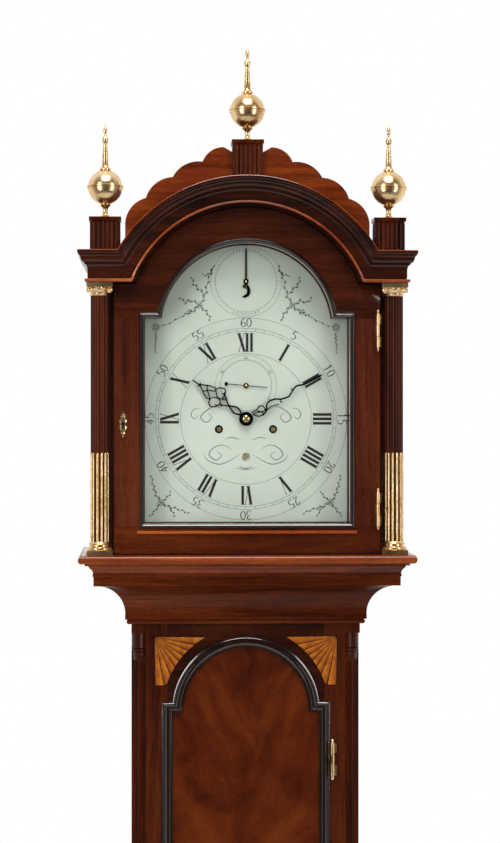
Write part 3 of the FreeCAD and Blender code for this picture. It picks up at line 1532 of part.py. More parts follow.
parts = [
    backboard, base_front, base_carcass, base_skirting, base_moulding, trunk_sides, trunk_stiles, trunk_rails,
    quarter_columns, throat_moulding, fan_inlays, trunk_door_panel, trunk_door_moulding, trunk_hinge_leaves,
    trunk_door_hinges, trunk_door_escutcheon, hood_base_moulding, hood_sides, hood_side_glass, hood_frieze,
    hood_cornice, hood_roof, hood_cresting, finial_plinths, hood_finials, column_shafts, column_brasses, dial_mask,
    hood_door_frame, hood_door_moulding, hood_door_glass, hood_hinge_leaves, hood_door_hinges, hood_door_escutcheon,
    seatboard, movement_frame, dial_plate, bell, going_great_wheel, strike_great_wheel, centre_wheel, third_wheel,
    escape_wheel, cannon_pinion, minute_wheel, hour_wheel, minute_hand, hour_hand, seconds_hand, strike_hand,
    pallet_anchor, pendulum_rod, pendulum_bob, bell_hammer,
]
pairs = {"going": 1, "strike": -1}

os.makedirs("parts", exist_ok=True)
for make in parts:
    make().exportStep(f"parts/{make.__name__}.step")
for train, side in pairs.items():
    weight(side).exportStep(f"parts/{train}_weight.step")
    pulley(side).exportStep(f"parts/{train}_pulley.step")
    line(side).exportStep(f"parts/{train}_line.step")
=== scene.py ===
"""A London longcase clock in polished mahogany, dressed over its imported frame."""
from math import asin, atan2, cos, dist, hypot, pi, radians, sin, sqrt

import bmesh
import bpy
from mathutils import Matrix, Vector


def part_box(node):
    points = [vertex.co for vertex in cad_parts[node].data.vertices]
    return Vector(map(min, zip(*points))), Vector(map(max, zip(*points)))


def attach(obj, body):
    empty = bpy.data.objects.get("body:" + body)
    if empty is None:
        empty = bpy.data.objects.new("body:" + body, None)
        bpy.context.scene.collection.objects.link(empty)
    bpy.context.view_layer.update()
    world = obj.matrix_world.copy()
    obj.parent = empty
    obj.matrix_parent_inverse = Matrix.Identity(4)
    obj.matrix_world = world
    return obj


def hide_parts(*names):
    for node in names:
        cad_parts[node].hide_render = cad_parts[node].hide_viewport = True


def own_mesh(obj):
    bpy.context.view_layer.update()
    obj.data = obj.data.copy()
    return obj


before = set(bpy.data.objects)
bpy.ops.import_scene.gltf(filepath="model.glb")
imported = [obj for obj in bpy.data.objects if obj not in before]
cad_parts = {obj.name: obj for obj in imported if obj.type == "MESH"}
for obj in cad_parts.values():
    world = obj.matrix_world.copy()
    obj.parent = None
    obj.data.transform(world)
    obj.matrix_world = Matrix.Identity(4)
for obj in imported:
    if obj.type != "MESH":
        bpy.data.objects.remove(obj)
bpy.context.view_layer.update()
MM = 0.001  # sketches are drawn in millimetres, and piece() brings them to metres


def box(name):
    """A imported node's lowest and highest corner, in millimetres."""
    low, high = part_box(name)
    return low / MM, high / MM


def middle_of(name):
    """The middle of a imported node."""
    return sum(box(name), Vector()) / 2


# The carcase boards: straight-grained Cuban mahogany, sawn, scraped and French polished. The grain runs
# up the boards and along the rails, with fine dark pores and a deep, clear coat of shellac over it.

def tone(code):
    """A colour from its sRGB hex value, made linear."""
    parts = [int(code[place:place + 2], 16) / 255 for place in (1, 3, 5)]
    return [value / 12.92 if value <= 0.04045 else ((value + 0.055) / 1.055) ** 2.4
            for value in parts] + [1.0]


def feed(tree, node, inputs):
    """Fills a node's inputs from values, nodes (by their first output) or (node, output) pairs."""
    for key, value in inputs.items():
        if isinstance(value, bpy.types.Node):
            value = value, 0
        if isinstance(value, tuple) and isinstance(value[0], bpy.types.Node):
            tree.links.new(value[0].outputs[value[1]], node.inputs[key])
        else:
            node.inputs[key].default_value = value


def add(tree, kind, inputs=None, stops=(), **settings):
    """Adds a node with its settings, inputs and, on a colour ramp, its stops."""
    node = tree.nodes.new(kind)
    while len(stops) > len(node.color_ramp.elements if stops else ()):
        node.color_ramp.elements.new(0.5)
    for number, (place, colour) in enumerate(stops):
        node.color_ramp.elements[number].position = place
        node.color_ramp.elements[number].color = colour
    for name, value in settings.items():
        setattr(node, name, value)
    feed(tree, node, inputs or {})
    return node


def shaded(name, look):
    """A material from a look, which gets the tree and a place and returns the shader's inputs."""
    material = bpy.data.materials.new(name)
    material.use_nodes = True
    tree = material.node_tree
    feed(tree, tree.nodes["Principled BSDF"], look(tree, (add(tree, "ShaderNodeTexCoord"), "Object")))
    return material


def clouded(tree, where, scale, detail, stops, roughness=0.5):
    """The colours of a soft noise."""
    noise = add(tree, "ShaderNodeTexNoise",
                {"Scale": scale, "Detail": detail, "Roughness": roughness, "Vector": where})
    return add(tree, "ShaderNodeValToRGB", {"Fac": noise}, stops)


def darkened(tree, colour, source, amount, stops):
    """A colour multiplied by a ramp over another node, as a (node, output) pair."""
    ramp = add(tree, "ShaderNodeValToRGB", {"Fac": source}, stops)
    return add(tree, "ShaderNodeMix", {0: amount, 6: colour, 7: ramp}, data_type="RGBA",
               blend_type="MULTIPLY"), 2


def polished_wood(name, dark, mid, light, along="Z", ribbon_mm=26.0, pore_mm=0.7, cloud_mm=210.0,
                  roughness=0.25, coat=0.25, specular=0.3):
    """Polished timber: ribbons of figure, grain lines and pores, all drawn out along the board."""
    def look(tree, where):
        stretch = {"X": (0.07, 1, 1), "Y": (1, 0.07, 1), "Z": (1, 1, 0.07)}[along]
        grain = add(tree, "ShaderNodeMapping", {"Scale": stretch, "Vector": where})
        bands = add(tree, "ShaderNodeTexNoise", {
            "Scale": 1000 / ribbon_mm, "Detail": 5.0, "Roughness": 0.6, "Distortion": 0.6, "Vector": grain})
        lines = add(tree, "ShaderNodeTexNoise",
                    {"Scale": 5000 / ribbon_mm, "Detail": 3.0, "Distortion": 0.3, "Vector": grain})
        pores = add(tree, "ShaderNodeTexNoise", {"Scale": 1000 / pore_mm, "Detail": 1.0, "Vector": grain})
        figure = add(tree, "ShaderNodeMath", {1: 0.35, 0: lines, 2: bands}, operation="MULTIPLY_ADD")
        colour = add(tree, "ShaderNodeValToRGB", {"Fac": figure},
                     [(0.5, tone(dark)), (0.68, tone(mid)), (0.88, tone(light))])
        tint = darkened(tree, colour, pores, 0.75, [(0.34, (0.45, 0.38, 0.34, 1)), (0.46, (1, 1, 1, 1))])
        clouds = add(tree, "ShaderNodeTexNoise",
                     {"Scale": 1000 / cloud_mm, "Detail": 3.0, "Roughness": 0.55, "Vector": where})
        tint = darkened(tree, tint, clouds, 0.9, [(0.36, (0.62, 0.52, 0.46, 1)), (0.62, (1, 1, 1, 1))])
        bump = add(tree, "ShaderNodeBump", {"Strength": 0.12, "Distance": 0.0003, "Height": pores})
        return {"Base Color": tint, "Normal": bump, "Roughness": roughness, "Coat Weight": coat,
                "Coat Roughness": 0.1, "Specular IOR Level": specular}
    return shaded(name, look)


def finish_nodes(material, names):
    """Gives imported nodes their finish."""
    for name in names:
        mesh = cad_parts[name].data
        mesh.materials.clear()
        mesh.materials.append(material)


mahogany_up = polished_wood("mahogany_upright_grain", "#360f03", "#532007", "#65290b")
mahogany_across = polished_wood("mahogany_cross_grain", "#340f03", "#542006", "#6e2f0c", "X")
finish_nodes(mahogany_up, ["base_carcass", "trunk_sides", "trunk_stiles", "hood_sides", "dial_mask"])
finish_nodes(mahogany_across, ["base_skirting", "base_moulding"])
# Darker copy of cross-grain mahogany for frieze, trunk rails and cornice: painted shade under the top
# light.
mahogany_painted_shade = polished_wood("cross_grain_mahogany_painted_shade", "#1f0902", "#371405", "#4a1d07", "X")
finish_nodes(mahogany_painted_shade, ["hood_frieze", "trunk_rails"])
# Paler, warmer copy for the throat's hollow: painted warm reflection, with a thin coat.
mahogany_throat_reflection = polished_wood(
    "throat_mahogany_painted_reflection", "#421907", "#61290d", "#763614", "X", coat=0.03, specular=0.15)
finish_nodes(mahogany_throat_reflection, ["throat_moulding"])
mahogany_turned = polished_wood(
    "mahogany_turned_and_fluted", "#290b03", "#451805", "#582208", coat=0.03, specular=0.12)
finish_nodes(mahogany_turned, ["finial_plinths"])
# Paler copy for the cresting and the hood's base moulding: painted light where the top light falls.
mahogany_lit_paler = polished_wood(
    "cresting_mahogany_painted_light", "#581d03", "#7f3409", "#9c4a14", "X", ribbon_mm=34.0)
finish_nodes(mahogany_lit_paler, ["hood_cresting"])


# The base front is faced with a fielded panel of flame mahogany, cut from a crotch of the tree, and the
# trunk door with a taller one. Its plumes rise on each side of a dark centre line.

def flame_look(plume_mm, dark, mid, light):
    """Crotch figure: curved bands that climb and part at a middle line."""
    def look(tree, where):
        spread = add(tree, "ShaderNodeSeparateXYZ", {"Vector": where})
        drift = add(tree, "ShaderNodeTexNoise", {"Scale": 5.0, "Detail": 3.0, "Vector": where})
        shift = add(tree, "ShaderNodeMath", {1: 0.11, 2: -0.055, 0: drift}, operation="MULTIPLY_ADD")
        side = add(tree, "ShaderNodeMath", {0: (spread, "X"), 1: shift}, operation="ADD")
        side = add(tree, "ShaderNodeMath", {0: side}, operation="ABSOLUTE")
        curve = add(tree, "ShaderNodeMath", {1: 0.62, 0: side}, operation="POWER")
        climb = add(tree, "ShaderNodeMath", {1: -0.9, 0: curve, 2: (spread, "Z")}, operation="MULTIPLY_ADD")
        flow = add(tree, "ShaderNodeCombineXYZ", {"X": side, "Z": climb})
        plumes = add(tree, "ShaderNodeTexNoise", {
            "Scale": 1000 / plume_mm, "Detail": 6.0, "Roughness": 0.62, "Distortion": 0.8, "Vector": flow})
        fine = add(tree, "ShaderNodeMapping", {"Scale": (1, 1, 0.1), "Vector": flow})
        pores = add(tree, "ShaderNodeTexNoise", {"Scale": 1300.0, "Detail": 1.0, "Vector": fine})
        colour = add(tree, "ShaderNodeValToRGB", {"Fac": plumes},
                     [(0.34, tone(dark)), (0.5, tone(mid)), (0.66, tone(light))])
        tint = darkened(tree, colour, pores, 0.7, [(0.35, (0.5, 0.42, 0.36, 1)), (0.47, (1, 1, 1, 1))])
        mottle = add(tree, "ShaderNodeTexNoise", {
            "Scale": 1000 / 75, "Detail": 5.0, "Roughness": 0.6, "Distortion": 1.2, "Vector": where})
        tint = darkened(tree, tint, mottle, 0.85, [(0.36, (0.5, 0.4, 0.34, 1)), (0.56, (1, 1, 1, 1))])
        return {"Base Color": tint, "Roughness": 0.3, "Coat Weight": 0.12, "Specular IOR Level": 0.22,
                "Coat Roughness": 0.1}
    return look


flame_veneer = shaded("flame_mahogany_veneer", flame_look(120.0, "#421200", "#561e02", "#652a04"))
finish_nodes(flame_veneer, ["trunk_door_panel", "base_front"])


# The backboard, roof and seatboard are quartered oak, planed and left nearly bare, because nobody sees
# them. The oak has gone a dull grey brown, with long open pores.

oak = polished_wood(
    "planed_oak", "#3b2a1b", "#5a432c", "#76603f", ribbon_mm=18.0, pore_mm=1.1, roughness=0.6, coat=0.0)
finish_nodes(oak, ["backboard", "hood_roof", "seatboard"])


# The dial is one sheet of brass, cut by a graver. The cuts are filled with black wax, and the face is
# rubbed with silver salts and lacquered, so it is a pale grey green, slightly cloudy, with fine grain.

dial_face = box("dial_plate")[0].y
dial_middle, seconds_middle = middle_of("cannon_pinion"), middle_of("escape_wheel")
strike_middle = Vector((0, 0, dial_middle.z + 200.3))
wax_proud = 0.07


def silvered_look(tree, where):
    """Silvered brass: soft clouds and fine up-and-down grain."""
    drawn = add(tree, "ShaderNodeMapping", {"Scale": (1, 1, 0.12), "Vector": where})
    grain = add(tree, "ShaderNodeTexNoise", {"Scale": 900.0, "Detail": 2.0, "Vector": drawn})
    colour = clouded(
        tree, where, 9.0, 4.0, [(0.3, tone("#bcc7b8")), (0.52, tone("#c4cec0")), (0.75, tone("#cdd5c8"))])
    sheen = add(tree, "ShaderNodeMapRange", {"To Min": 0.42, "To Max": 0.62, "Value": grain})
    return {"Base Color": colour, "Roughness": sheen, "Metallic": 0.25}


def wax_look(tree, where):
    """Black engraver's wax, a little worn to brown."""
    colour = clouded(tree, where, 260.0, 3.0, [(0.35, tone("#050605")), (0.7, tone("#151714"))])
    return {"Base Color": colour, "Roughness": 0.55}


silvering = shaded("silvered_brass", silvered_look)
black_wax = shaded("engraving_wax", wax_look)
finish_nodes(silvering, ["dial_plate"])


def swept(sketch, path, sections, closed=False):
    """Runs sections of (rightward, depth) along a path of (x, z); one section can serve a whole path."""
    rings = []
    for index, (x, z) in enumerate(path):
        before = path[index - 1] if index or closed else path[index]
        after = path[(index + 1) % len(path)] if index + 1 < len(path) or closed else path[index]
        along = Vector((after[0] - before[0], after[1] - before[1])).normalized()
        section = sections[index % len(sections)]
        rings.append([(x + along.y * right, depth, z - along.x * right) for right, depth in section])
    skin(sketch, rings, closed)


def bar(sketch, path, widths, middle, front, back, closed=False):
    """A flat bar along a path in the plane of the dial, of one width or of a width for each point."""
    halves = [width / 2 for width in (widths if isinstance(widths, list) else [widths])]
    swept(sketch, [(middle.x + x, middle.z + z) for x, z in path],
          [[(-half, front), (half, front), (half, back), (-half, back)] for half in halves], closed)


def skin(sketch, rings, closed=False):
    """Joins rings of points, each to the next, and closes the ends; returns the rings' vertices."""
    rings = [[sketch.verts.new(point) for point in ring] for ring in rings]
    for here, there in zip(rings, rings[1:] + (rings[:1] if closed else [])):
        for index in range(len(here)):
            follow = (index + 1) % len(here)
            sketch.faces.new((here[index], here[follow], there[follow], there[index]))
    if not closed:
        sketch.faces.new(rings[0])
        sketch.faces.new(rings[-1])
    return rings


def engrave(sketch, path, widths, middle=dial_middle, closed=False):
    """A graver's cut in the dial, filled with wax."""
    bar(sketch, path, widths, middle, dial_face - wax_proud, dial_face, closed)


def flowing(points, steps=5):
    """A smooth line through its points."""
    line = []
    for index in range(len(points) - 1):
        before, here = points[max(index - 1, 0)], points[index]
        there, after = points[index + 1], points[min(index + 2, len(points) - 1)]
        for step in range(steps):
            t = step / steps
            spans = zip(before, here, there, after)
            line.append(tuple(0.5 * (2 * b + (c - a) * t + (2 * a - 5 * b + 4 * c - d) * t * t
                                     + (3 * b - a - 3 * c + d) * t ** 3) for a, b, c, d in spans))
    return line + [tuple(points[-1])]


def swelling(count, thin, thick):
    """The widths of a pen stroke that swells to its middle."""
    return [thin + (thick - thin) * sin(pi * index / (count - 1)) for index in range(count)]


def piece(name, shape, material, body, slot, *replaced, sharp=30):
    """Puts a sketch or mesh in millimetres on the clock: its finish, its body and the nodes it replaces."""
    mesh = shape
    if isinstance(shape, bmesh.types.BMesh):
        bmesh.ops.recalc_face_normals(shape, faces=shape.faces)
        mesh = bpy.data.meshes.new(name)
        shape.to_mesh(mesh)
        shape.free()
    mesh.transform(Matrix.Scale(MM, 4))
    mesh.materials.clear()
    mesh.materials.append(material)
    mesh.shade_smooth()
    mesh.set_sharp_from_angle(angle=radians(sharp))
    made = bpy.data.objects.new(name, mesh)
    bpy.context.scene.collection.objects.link(made)
    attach(made, body)
    if replaced:
        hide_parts(*replaced)
    return made


def circle(radius, count=96):
    turns = [2 * pi * index / count for index in range(count)]
    return [(radius * sin(turn), radius * cos(turn)) for turn in turns]


def turned(path, angle, radius=0.0):
    """Sets a drawing out along a ray, foot towards the centre; the angle runs clockwise from the top."""
    c, s = cos(angle), sin(angle)
    return [(x * c + (z + radius) * s, (z + radius) * c - x * s) for x, z in path]


# The hours are Roman figures with their feet to the centre: thick straight strokes, with hairlines for
# the second strokes and the serifs. The minutes stand outside them in flowing round hand figures.

hour_foot, hour_rise, hour_thick, hairline = 98.2, 26.4, 3.9, 0.8
roman = {"I": (6.4, [((0, 0), (0, 1), True)]),
         "V": (9.6, [((0, 0), (-0.42, 1), True), ((0, 0), (0.42, 1), False)]),
         "X": (9.6, [((0.42, 0), (-0.42, 1), True), ((-0.42, 0), (0.42, 1), False)])}
hours = ["XII", "I", "II", "III", "IIII", "V", "VI", "VII", "VIII", "IX", "X", "XI"]
figures = {"0": [(0.27, 1), (0.1, 0.84), (0.02, 0.5), (0.1, 0.16), (0.27, 0), (0.44, 0.16), (0.52, 0.5),
                 (0.44, 0.84), (0.27, 1)], "1": [(0.08, 0.78), (0.22, 0.98), (0.24, 0.5), (0.22, 0)],
           "2": [(0.06, 0.72), (0.14, 0.95), (0.34, 0.98), (0.46, 0.76), (0.3, 0.38), (0.02, 0.05),
                 (0.2, 0.1), (0.36, 0), (0.54, 0.12)],
           "3": [(0.06, 0.84), (0.22, 1), (0.42, 0.86), (0.36, 0.64), (0.2, 0.56),
                 (0.42, 0.48), (0.5, 0.26), (0.36, 0.02), (0.14, 0), (0.04, 0.16)],
           "4": [(0.4, 1), (0.22, 0.62), (0, 0.3), (0.26, 0.28), (0.54, 0.32)],
           "5": [(0.5, 1), (0.3, 0.95), (0.14, 0.97), (0.1, 0.58), (0.32, 0.62), (0.5, 0.42), (0.44, 0.12),
                 (0.24, 0), (0.06, 0.12)],
           "6": [(0.48, 0.94), (0.3, 0.98), (0.1, 0.7), (0.04, 0.34), (0.18, 0.02), (0.42, 0.06),
                 (0.5, 0.32), (0.34, 0.54), (0.08, 0.36)]}


def draw_hour(sketch, numeral, angle):
    """One Roman numeral, in the middle of its place."""
    wide = sum(roman[letter][0] for letter in numeral)
    x = -wide / 2
    for letter in numeral:
        step, strokes = roman[letter]
        for (u0, v0), (u1, v1), thick in strokes:
            foot, head = ((x + step / 2 + u * step, v * hour_rise) for u, v in ((u0, v0), (u1, v1)))
            width = hour_thick if thick else hairline
            engrave(sketch, turned([foot, head], angle, hour_foot), width)
            for end_x, end_z in (foot, head):
                serif = [(end_x - width / 2 - 0.9, end_z), (end_x + width / 2 + 0.9, end_z)]
                engrave(sketch, turned(serif, angle, hour_foot), hairline)
        x += step


def draw_number(sketch, number, angle, radius, rise, thick, middle):
    """A number in round hand, upright on its ray, thick where the pen goes down."""
    wide = 0.66 * rise
    x = -wide * len(number) / 2
    for digit in number:
        strokes = [figures[digit]] + ([[(0.4, 0.72), (0.36, 0.3), (0.3, 0)]] if digit == "4" else [])
        for stroke in strokes:
            line = flowing([(x + (u + 0.07) * rise, v * rise) for u, v in stroke], 4)
            steep = []
            for index in range(len(line)):
                here, there = line[max(index - 1, 0)], line[min(index + 1, len(line) - 1)]
                slope = abs(there[1] - here[1]) / (dist(here, there) or 1)
                steep.append(0.35 * thick + 0.65 * thick * slope ** 2)
            engrave(sketch, turned(line, angle, radius), steep, middle)
        x += wide


sketch = bmesh.new()
for index, numeral in enumerate(hours):
    draw_hour(sketch, numeral, radians(30 * index))
for minute in range(5, 65, 5):
    draw_number(sketch, str(minute), radians(6 * minute), 134.0, 12.8, 1.5, dial_middle)
for second in range(10, 70, 10):
    draw_number(sketch, str(second), radians(6 * second), 38.3, 4.2, 0.5, seconds_middle)
for radius in (147.2, 131.9, 127.7, 95.3):
    engrave(sketch, circle(radius, 144), 0.42, closed=True)
for radius in (44.6, 37):
    engrave(sketch, circle(radius, 72), 0.36, seconds_middle, closed=True)
for radius in (51.7, 44.6):
    engrave(sketch, circle(radius, 84), 0.36, strike_middle, closed=True)
piece("dial_figures", sketch, black_wax, "case", "blued_steel")


# The minute and seconds rings are divided by short cuts of one length, made on a dividing plate.

def made_by_rule(name, inputs, rule, material):
    """Grows a mesh from a geometry tree with named inputs, its instances made real."""
    tree = bpy.data.node_groups.new(name, "GeometryNodeTree")
    tree.interface.new_socket("Geometry", in_out="OUTPUT", socket_type="NodeSocketGeometry")
    for label, value in inputs.items():
        kind = "NodeSocketInt" if isinstance(value, int) else "NodeSocketFloat"
        tree.interface.new_socket(label, in_out="INPUT", socket_type=kind)
    shape = rule(tree, add(tree, "NodeGroupInput"))
    real = add(tree, "GeometryNodeRealizeInstances", {"Geometry": shape})
    finish = add(tree, "GeometryNodeSetMaterial", {"Material": material, "Geometry": real})
    add(tree, "NodeGroupOutput", {"Geometry": finish})
    holder = bpy.data.objects.new(name, bpy.data.meshes.new(name + "_base"))
    bpy.context.scene.collection.objects.link(holder)
    modifier = holder.modifiers.new(name, "NODES")
    modifier.node_group = tree
    for item in tree.interface.items_tree:
        if item.in_out == "INPUT":
            modifier[item.identifier] = inputs[item.name]
    bpy.context.view_layer.update()
    mesh = bpy.data.meshes.new_from_object(holder.evaluated_get(bpy.context.evaluated_depsgraph_get()))
    bpy.data.objects.remove(holder)
    return mesh


def divided_ring(tree, source):
    """Cuts round a ring, each on its ray, in the plane of the dial."""
    ring = add(tree, "GeometryNodeMeshCircle",
               {"Vertices": (source, "Count"), "Radius": (source, "Radius")})
    size = add(tree, "ShaderNodeCombineXYZ",
               {"X": (source, "Length"), "Y": (source, "Width"), "Z": (source, "Depth")})
    cut = add(tree, "GeometryNodeMeshCube", {"Size": size})
    index = add(tree, "GeometryNodeInputIndex")
    step = add(tree, "ShaderNodeMath", {0: 2 * pi, 1: (source, "Count")}, operation="DIVIDE")
    angle = add(tree, "ShaderNodeMath", {0: index, 1: step}, operation="MULTIPLY")
    turn = add(tree, "ShaderNodeCombineXYZ", {"Z": angle})
    cuts = add(tree, "GeometryNodeInstanceOnPoints", {"Points": ring, "Instance": cut, "Rotation": turn})
    stood = add(tree, "GeometryNodeTransform", {"Rotation": (pi / 2, 0, 0), "Geometry": cuts})
    return stood


rings = {"minute_divisions": (60, 129.8, 4.2, dial_middle),
         "second_divisions": (60, 38.1, 2.2, seconds_middle),
         "regulation_divisions": (48, 45.9, 2.4, strike_middle)}
for name, (count, radius, length, middle) in rings.items():
    mesh = made_by_rule(
        name, {"Count": count, "Radius": radius, "Length": length, "Width": 0.42, "Depth": 2 * wax_proud},
        divided_ring, black_wax)
    for vertex in mesh.vertices:
        vertex.co += Vector((middle.x, dial_face, middle.z))
    piece(name, mesh, black_wax, "case", "blued_steel")


# Sprays of leaves and small flowers fill the corners and the arch, and pen flourishes the middle. They
# are bright cut: each leaf is one swelling stroke of the graver.

def draw_sprig(sketch, points, leaf, gap):
    """A stem with leaves on alternate sides that shrink towards its tip."""
    stem = flowing(points, 9)
    engrave(sketch, stem, [0.75 - 0.35 * index / len(stem) for index in range(len(stem))])
    gone = 0.0
    side = 1
    for index in range(1, len(stem) - 1):
        gone += dist(stem[index], stem[index - 1])
        if gone < gap:
            continue
        gone = 0.0
        side = -side
        x, z = stem[index]
        heading = atan2(stem[index + 1][1] - stem[index - 1][1], stem[index + 1][0] - stem[index - 1][0])
        size = leaf * (1.0 - 0.45 * index / len(stem))
        line = []
        for share in (0.0, 0.25, 0.5, 0.75, 1.0):
            turn = heading + side * (0.95 - 0.5 * share)
            line.append((x + size * share * cos(turn), z + size * share * sin(turn)))
        engrave(sketch, line, swelling(5, 0.3, 1.7))


def draw_flower(sketch, x, z, radius, petals):
    """A small flower: a ring with petals round it."""
    engrave(sketch, [(x + u, z + v) for u, v in circle(radius * 0.3, 12)], 0.4, closed=True)
    for petal in range(petals):
        angle = 2 * pi * petal / petals
        line = [(x + radius * r * cos(angle), z + radius * r * sin(angle)) for r in (0.4, 0.6, 0.8, 1)]
        engrave(sketch, line, swelling(4, 0.3, 1.5))


arch_sprigs = [([(-67.8, 165.5), (-60, 180), (-55, 202), (-47.6, 222.3)], 7, 5.4),
               ([(-67.8, 165.5), (-80, 172), (-88, 170), (-96, 176)], 6.5, 4),
               ([(-67.8, 165.5), (-76, 158), (-84, 154), (-92, 150)], 6.5, 4),
               ([(-67.8, 165.5), (-60, 158), (-54, 150), (-52, 141)], 6, 4.4),
               ([(-92, 150), (-106, 142), (-118, 136.5), (-128, 134.5)], 4, 9),
               ([(-60, 180), (-70, 190), (-76, 196), (-79, 206)], 6.5, 4.4),
               ([(-47.6, 222.3), (-50, 214), (-56, 210), (-62, 209)], 5, 4),
               ([(-131.5, 127), (-131.2, 116), (-132.4, 106), (-131.5, 94)], 3, 2.4)]
corner_sprigs = [
    ([(-123.6, -121.7), (-131, -110), (-135, -97), (-138.4, -82.2)], 5.6, 4.4),
    ([(-123.6, -121.7), (-112, -128), (-100, -131), (-84, -137.4)], 5.6, 4.4),
    ([(-123.6, -121.7), (-129, -129), (-134, -135), (-139.4, -141.2)], 4.6, 4.6),
    ([(-123.6, -121.7), (-117, -116), (-112, -111), (-108.9, -104.8)], 4.6, 4.6),
    ([(-112, -128), (-108, -134), (-105, -139), (-103.3, -144)], 4, 4.6)]
flourishes = [([(-22, -44), (-34, -38), (-47, -42), (-54, -52), (-44, -60), (-36, -53), (-44, -47)], 1.1),
              ([(-10, -52), (-26, -62), (-40, -66), (-56, -60), (-62, -50)], 1),
              ([(-30, 12), (-44, 18), (-58, 12), (-66, 2), (-58, -5), (-50, 2), (-56, 9)], 1.1),
              ([(-66, 16), (-76, 14), (-80, 6), (-75, 0), (-70, 5)], 0.9),
              ([(-9, -31), (-20, -27), (-30, -29)], 0.9)]
sketch = bmesh.new()
for side in (1, -1):
    for points, leaf, gap in arch_sprigs + corner_sprigs:
        draw_sprig(sketch, [(side * x, z) for x, z in points], leaf, gap)
    for points, thick in flourishes:
        line = flowing([(side * x, z) for x, z in points], 6)
        engrave(sketch, line, swelling(len(line), 0.3, thick))
    for x, z, radius, petals in (
            (-67.8, 165.5, 5.6, 7), (-82, 156, 4.6, 6), (-123.6, -121.7, 6, 8), (-131.5, 133.5, 5, 10)):
        draw_flower(sketch, side * x, z, radius, petals)
    engrave(sketch, [(side * -131.5 + u, 133.5 + v) for u, v in circle(5.8, 24)], 0.5, closed=True)
for reach, level, thick in ((10, -70.5, 1.1), (16, -72.5, 0.8)):
    line = flowing([(-reach, level + 1.6), (0, level - 1.6), (reach, level + 1.6)], 8)
    engrave(sketch, line, swelling(len(line), 0.3, thick))
for index in range(9):
    for sign in (1, -1):
        ray = radians(5.5 * (index - 4)) + (0 if sign > 0 else pi)
        line = turned([(-1, -1.6), (1, 1.6)], ray, 48.1)
        engrave(sketch, line, 0.6, strike_middle)
piece("dial_sprays", sketch, black_wax, "case", "blued_steel")


# The hands are steel, pierced with a saw, filed round and blued over a flame until they are nearly black.
# They are pressed on their pipes, and a turned brass collet and a pin hold the minute hand.

def metal(name, light, dark, roughness, cloud_mm=30.0, scratch_mm=0.6):
    """Worked metal: a slight cloud of tarnish and fine file marks."""
    def look(tree, where):
        colour = clouded(tree, where, 1000 / cloud_mm, 5.0, [(0.32, tone(dark)), (0.58, tone(light))], 0.65)
        marks = add(tree, "ShaderNodeTexNoise",
                    {"Scale": 1000 / scratch_mm, "Detail": 2.0, "Vector": where})
        sheen = add(tree, "ShaderNodeMapRange",
                    {"To Min": roughness * 0.75, "To Max": roughness * 1.35, "Value": marks})
        return {"Base Color": colour, "Roughness": sheen, "Metallic": 1.0}
    return shaded(name, look)


def spun(sketch, profile, origin, axis, segments=48, ring=False):
    """Turns a profile of (radius, place along the axis), as on a lathe."""
    first = axis.orthogonal().normalized()
    second = axis.cross(first)
    rows = []
    for reach, along in profile:
        centre = origin + axis * along
        spots = circle(reach, segments if reach else 1)
        rows.append([sketch.verts.new(centre + first * ahead + second * aside) for aside, ahead in spots])
    for here, there in zip(rows, rows[1:] + (rows[:1] if ring else [])):
        for index in range(segments):
            follow = (index + 1) % segments
            corners = [here[index % len(here)], here[follow % len(here)], there[follow % len(there)],
                       there[index % len(there)]]
            sketch.faces.new(dict.fromkeys(corners))


blued_steel = metal("blued_steel", "#0d0f16", "#050609", 0.32)
lacquered_brass = metal("lacquered_brass", "#e9cd93", "#c49a58", 0.17)
front = Vector((0, -1, 0))
hand_thick, hand_swell = 1.0, 1.6
hour_strokes = [([(0.1, 83.6), (-3.7, 76.3), (-6.5, 71.5), (-9.1, 65.1), (-8.3, 60.2)], 1.1),
                ([(0.7, 84), (3.6, 78.9), (6, 74.3), (8.6, 68.9), (9.7, 63.4)], 1.1),
                ([(7.2, 75.1), (0.6, 70.4), (-2.8, 65.1), (-7.3, 60.1)], 1),
                ([(10.4, 63.9), (6.4, 58.7), (2.1, 54.6), (0.3, 48.3), (-4.2, 43.3), (-6.6, 39.1)], 1.1),
                ([(-5, 74.4), (0.4, 70.2), (3.6, 64.3), (6.8, 59.4)], 1),
                ([(-8.3, 60.2), (-2.3, 56.4), (0.4, 50.2), (3.3, 44.2), (7.7, 40.1)], 1),
                ([(8, 60.3), (11.8, 59.5), (15.3, 55.6), (16.8, 50.7), (13.8, 47.3), (8.8, 45.4),
                  (3.8, 45.5)], 1.1), ([(13.1, 47.7), (9.7, 47.9), (9.7, 49.9)], 1),
                ([(10.3, 48.3), (8.5, 43.4), (4.8, 38.4), (1.9, 33.7), (0.6, 29.1)], 1.3),
                ([(-7.9, 59.6), (-12.9, 57.8), (-15.6, 53.2), (-13.4, 48.4), (-8.1, 44.9), (-4.4, 43.6)],
                 1.1), ([(-9.5, 49.8), (-9.2, 46.4), (-6, 43.2)], 1),
                ([(-6.2, 42.3), (-2.9, 37.8), (-0.4, 32.4), (0.9, 28.8)], 1.2),
                ([(1, 9), (4.6, 14.6), (5.5, 21.4), (0.8, 29.6), (-2, 24.4), (-3.2, 17.7), (1, 9)], 1.5),
                ([(0, 81.5), (0, 89.3), (0, 96.5)], 1.2), ([(-3.9, 84.7), (-0.1, 84), (3.8, 84.7)], 1)]
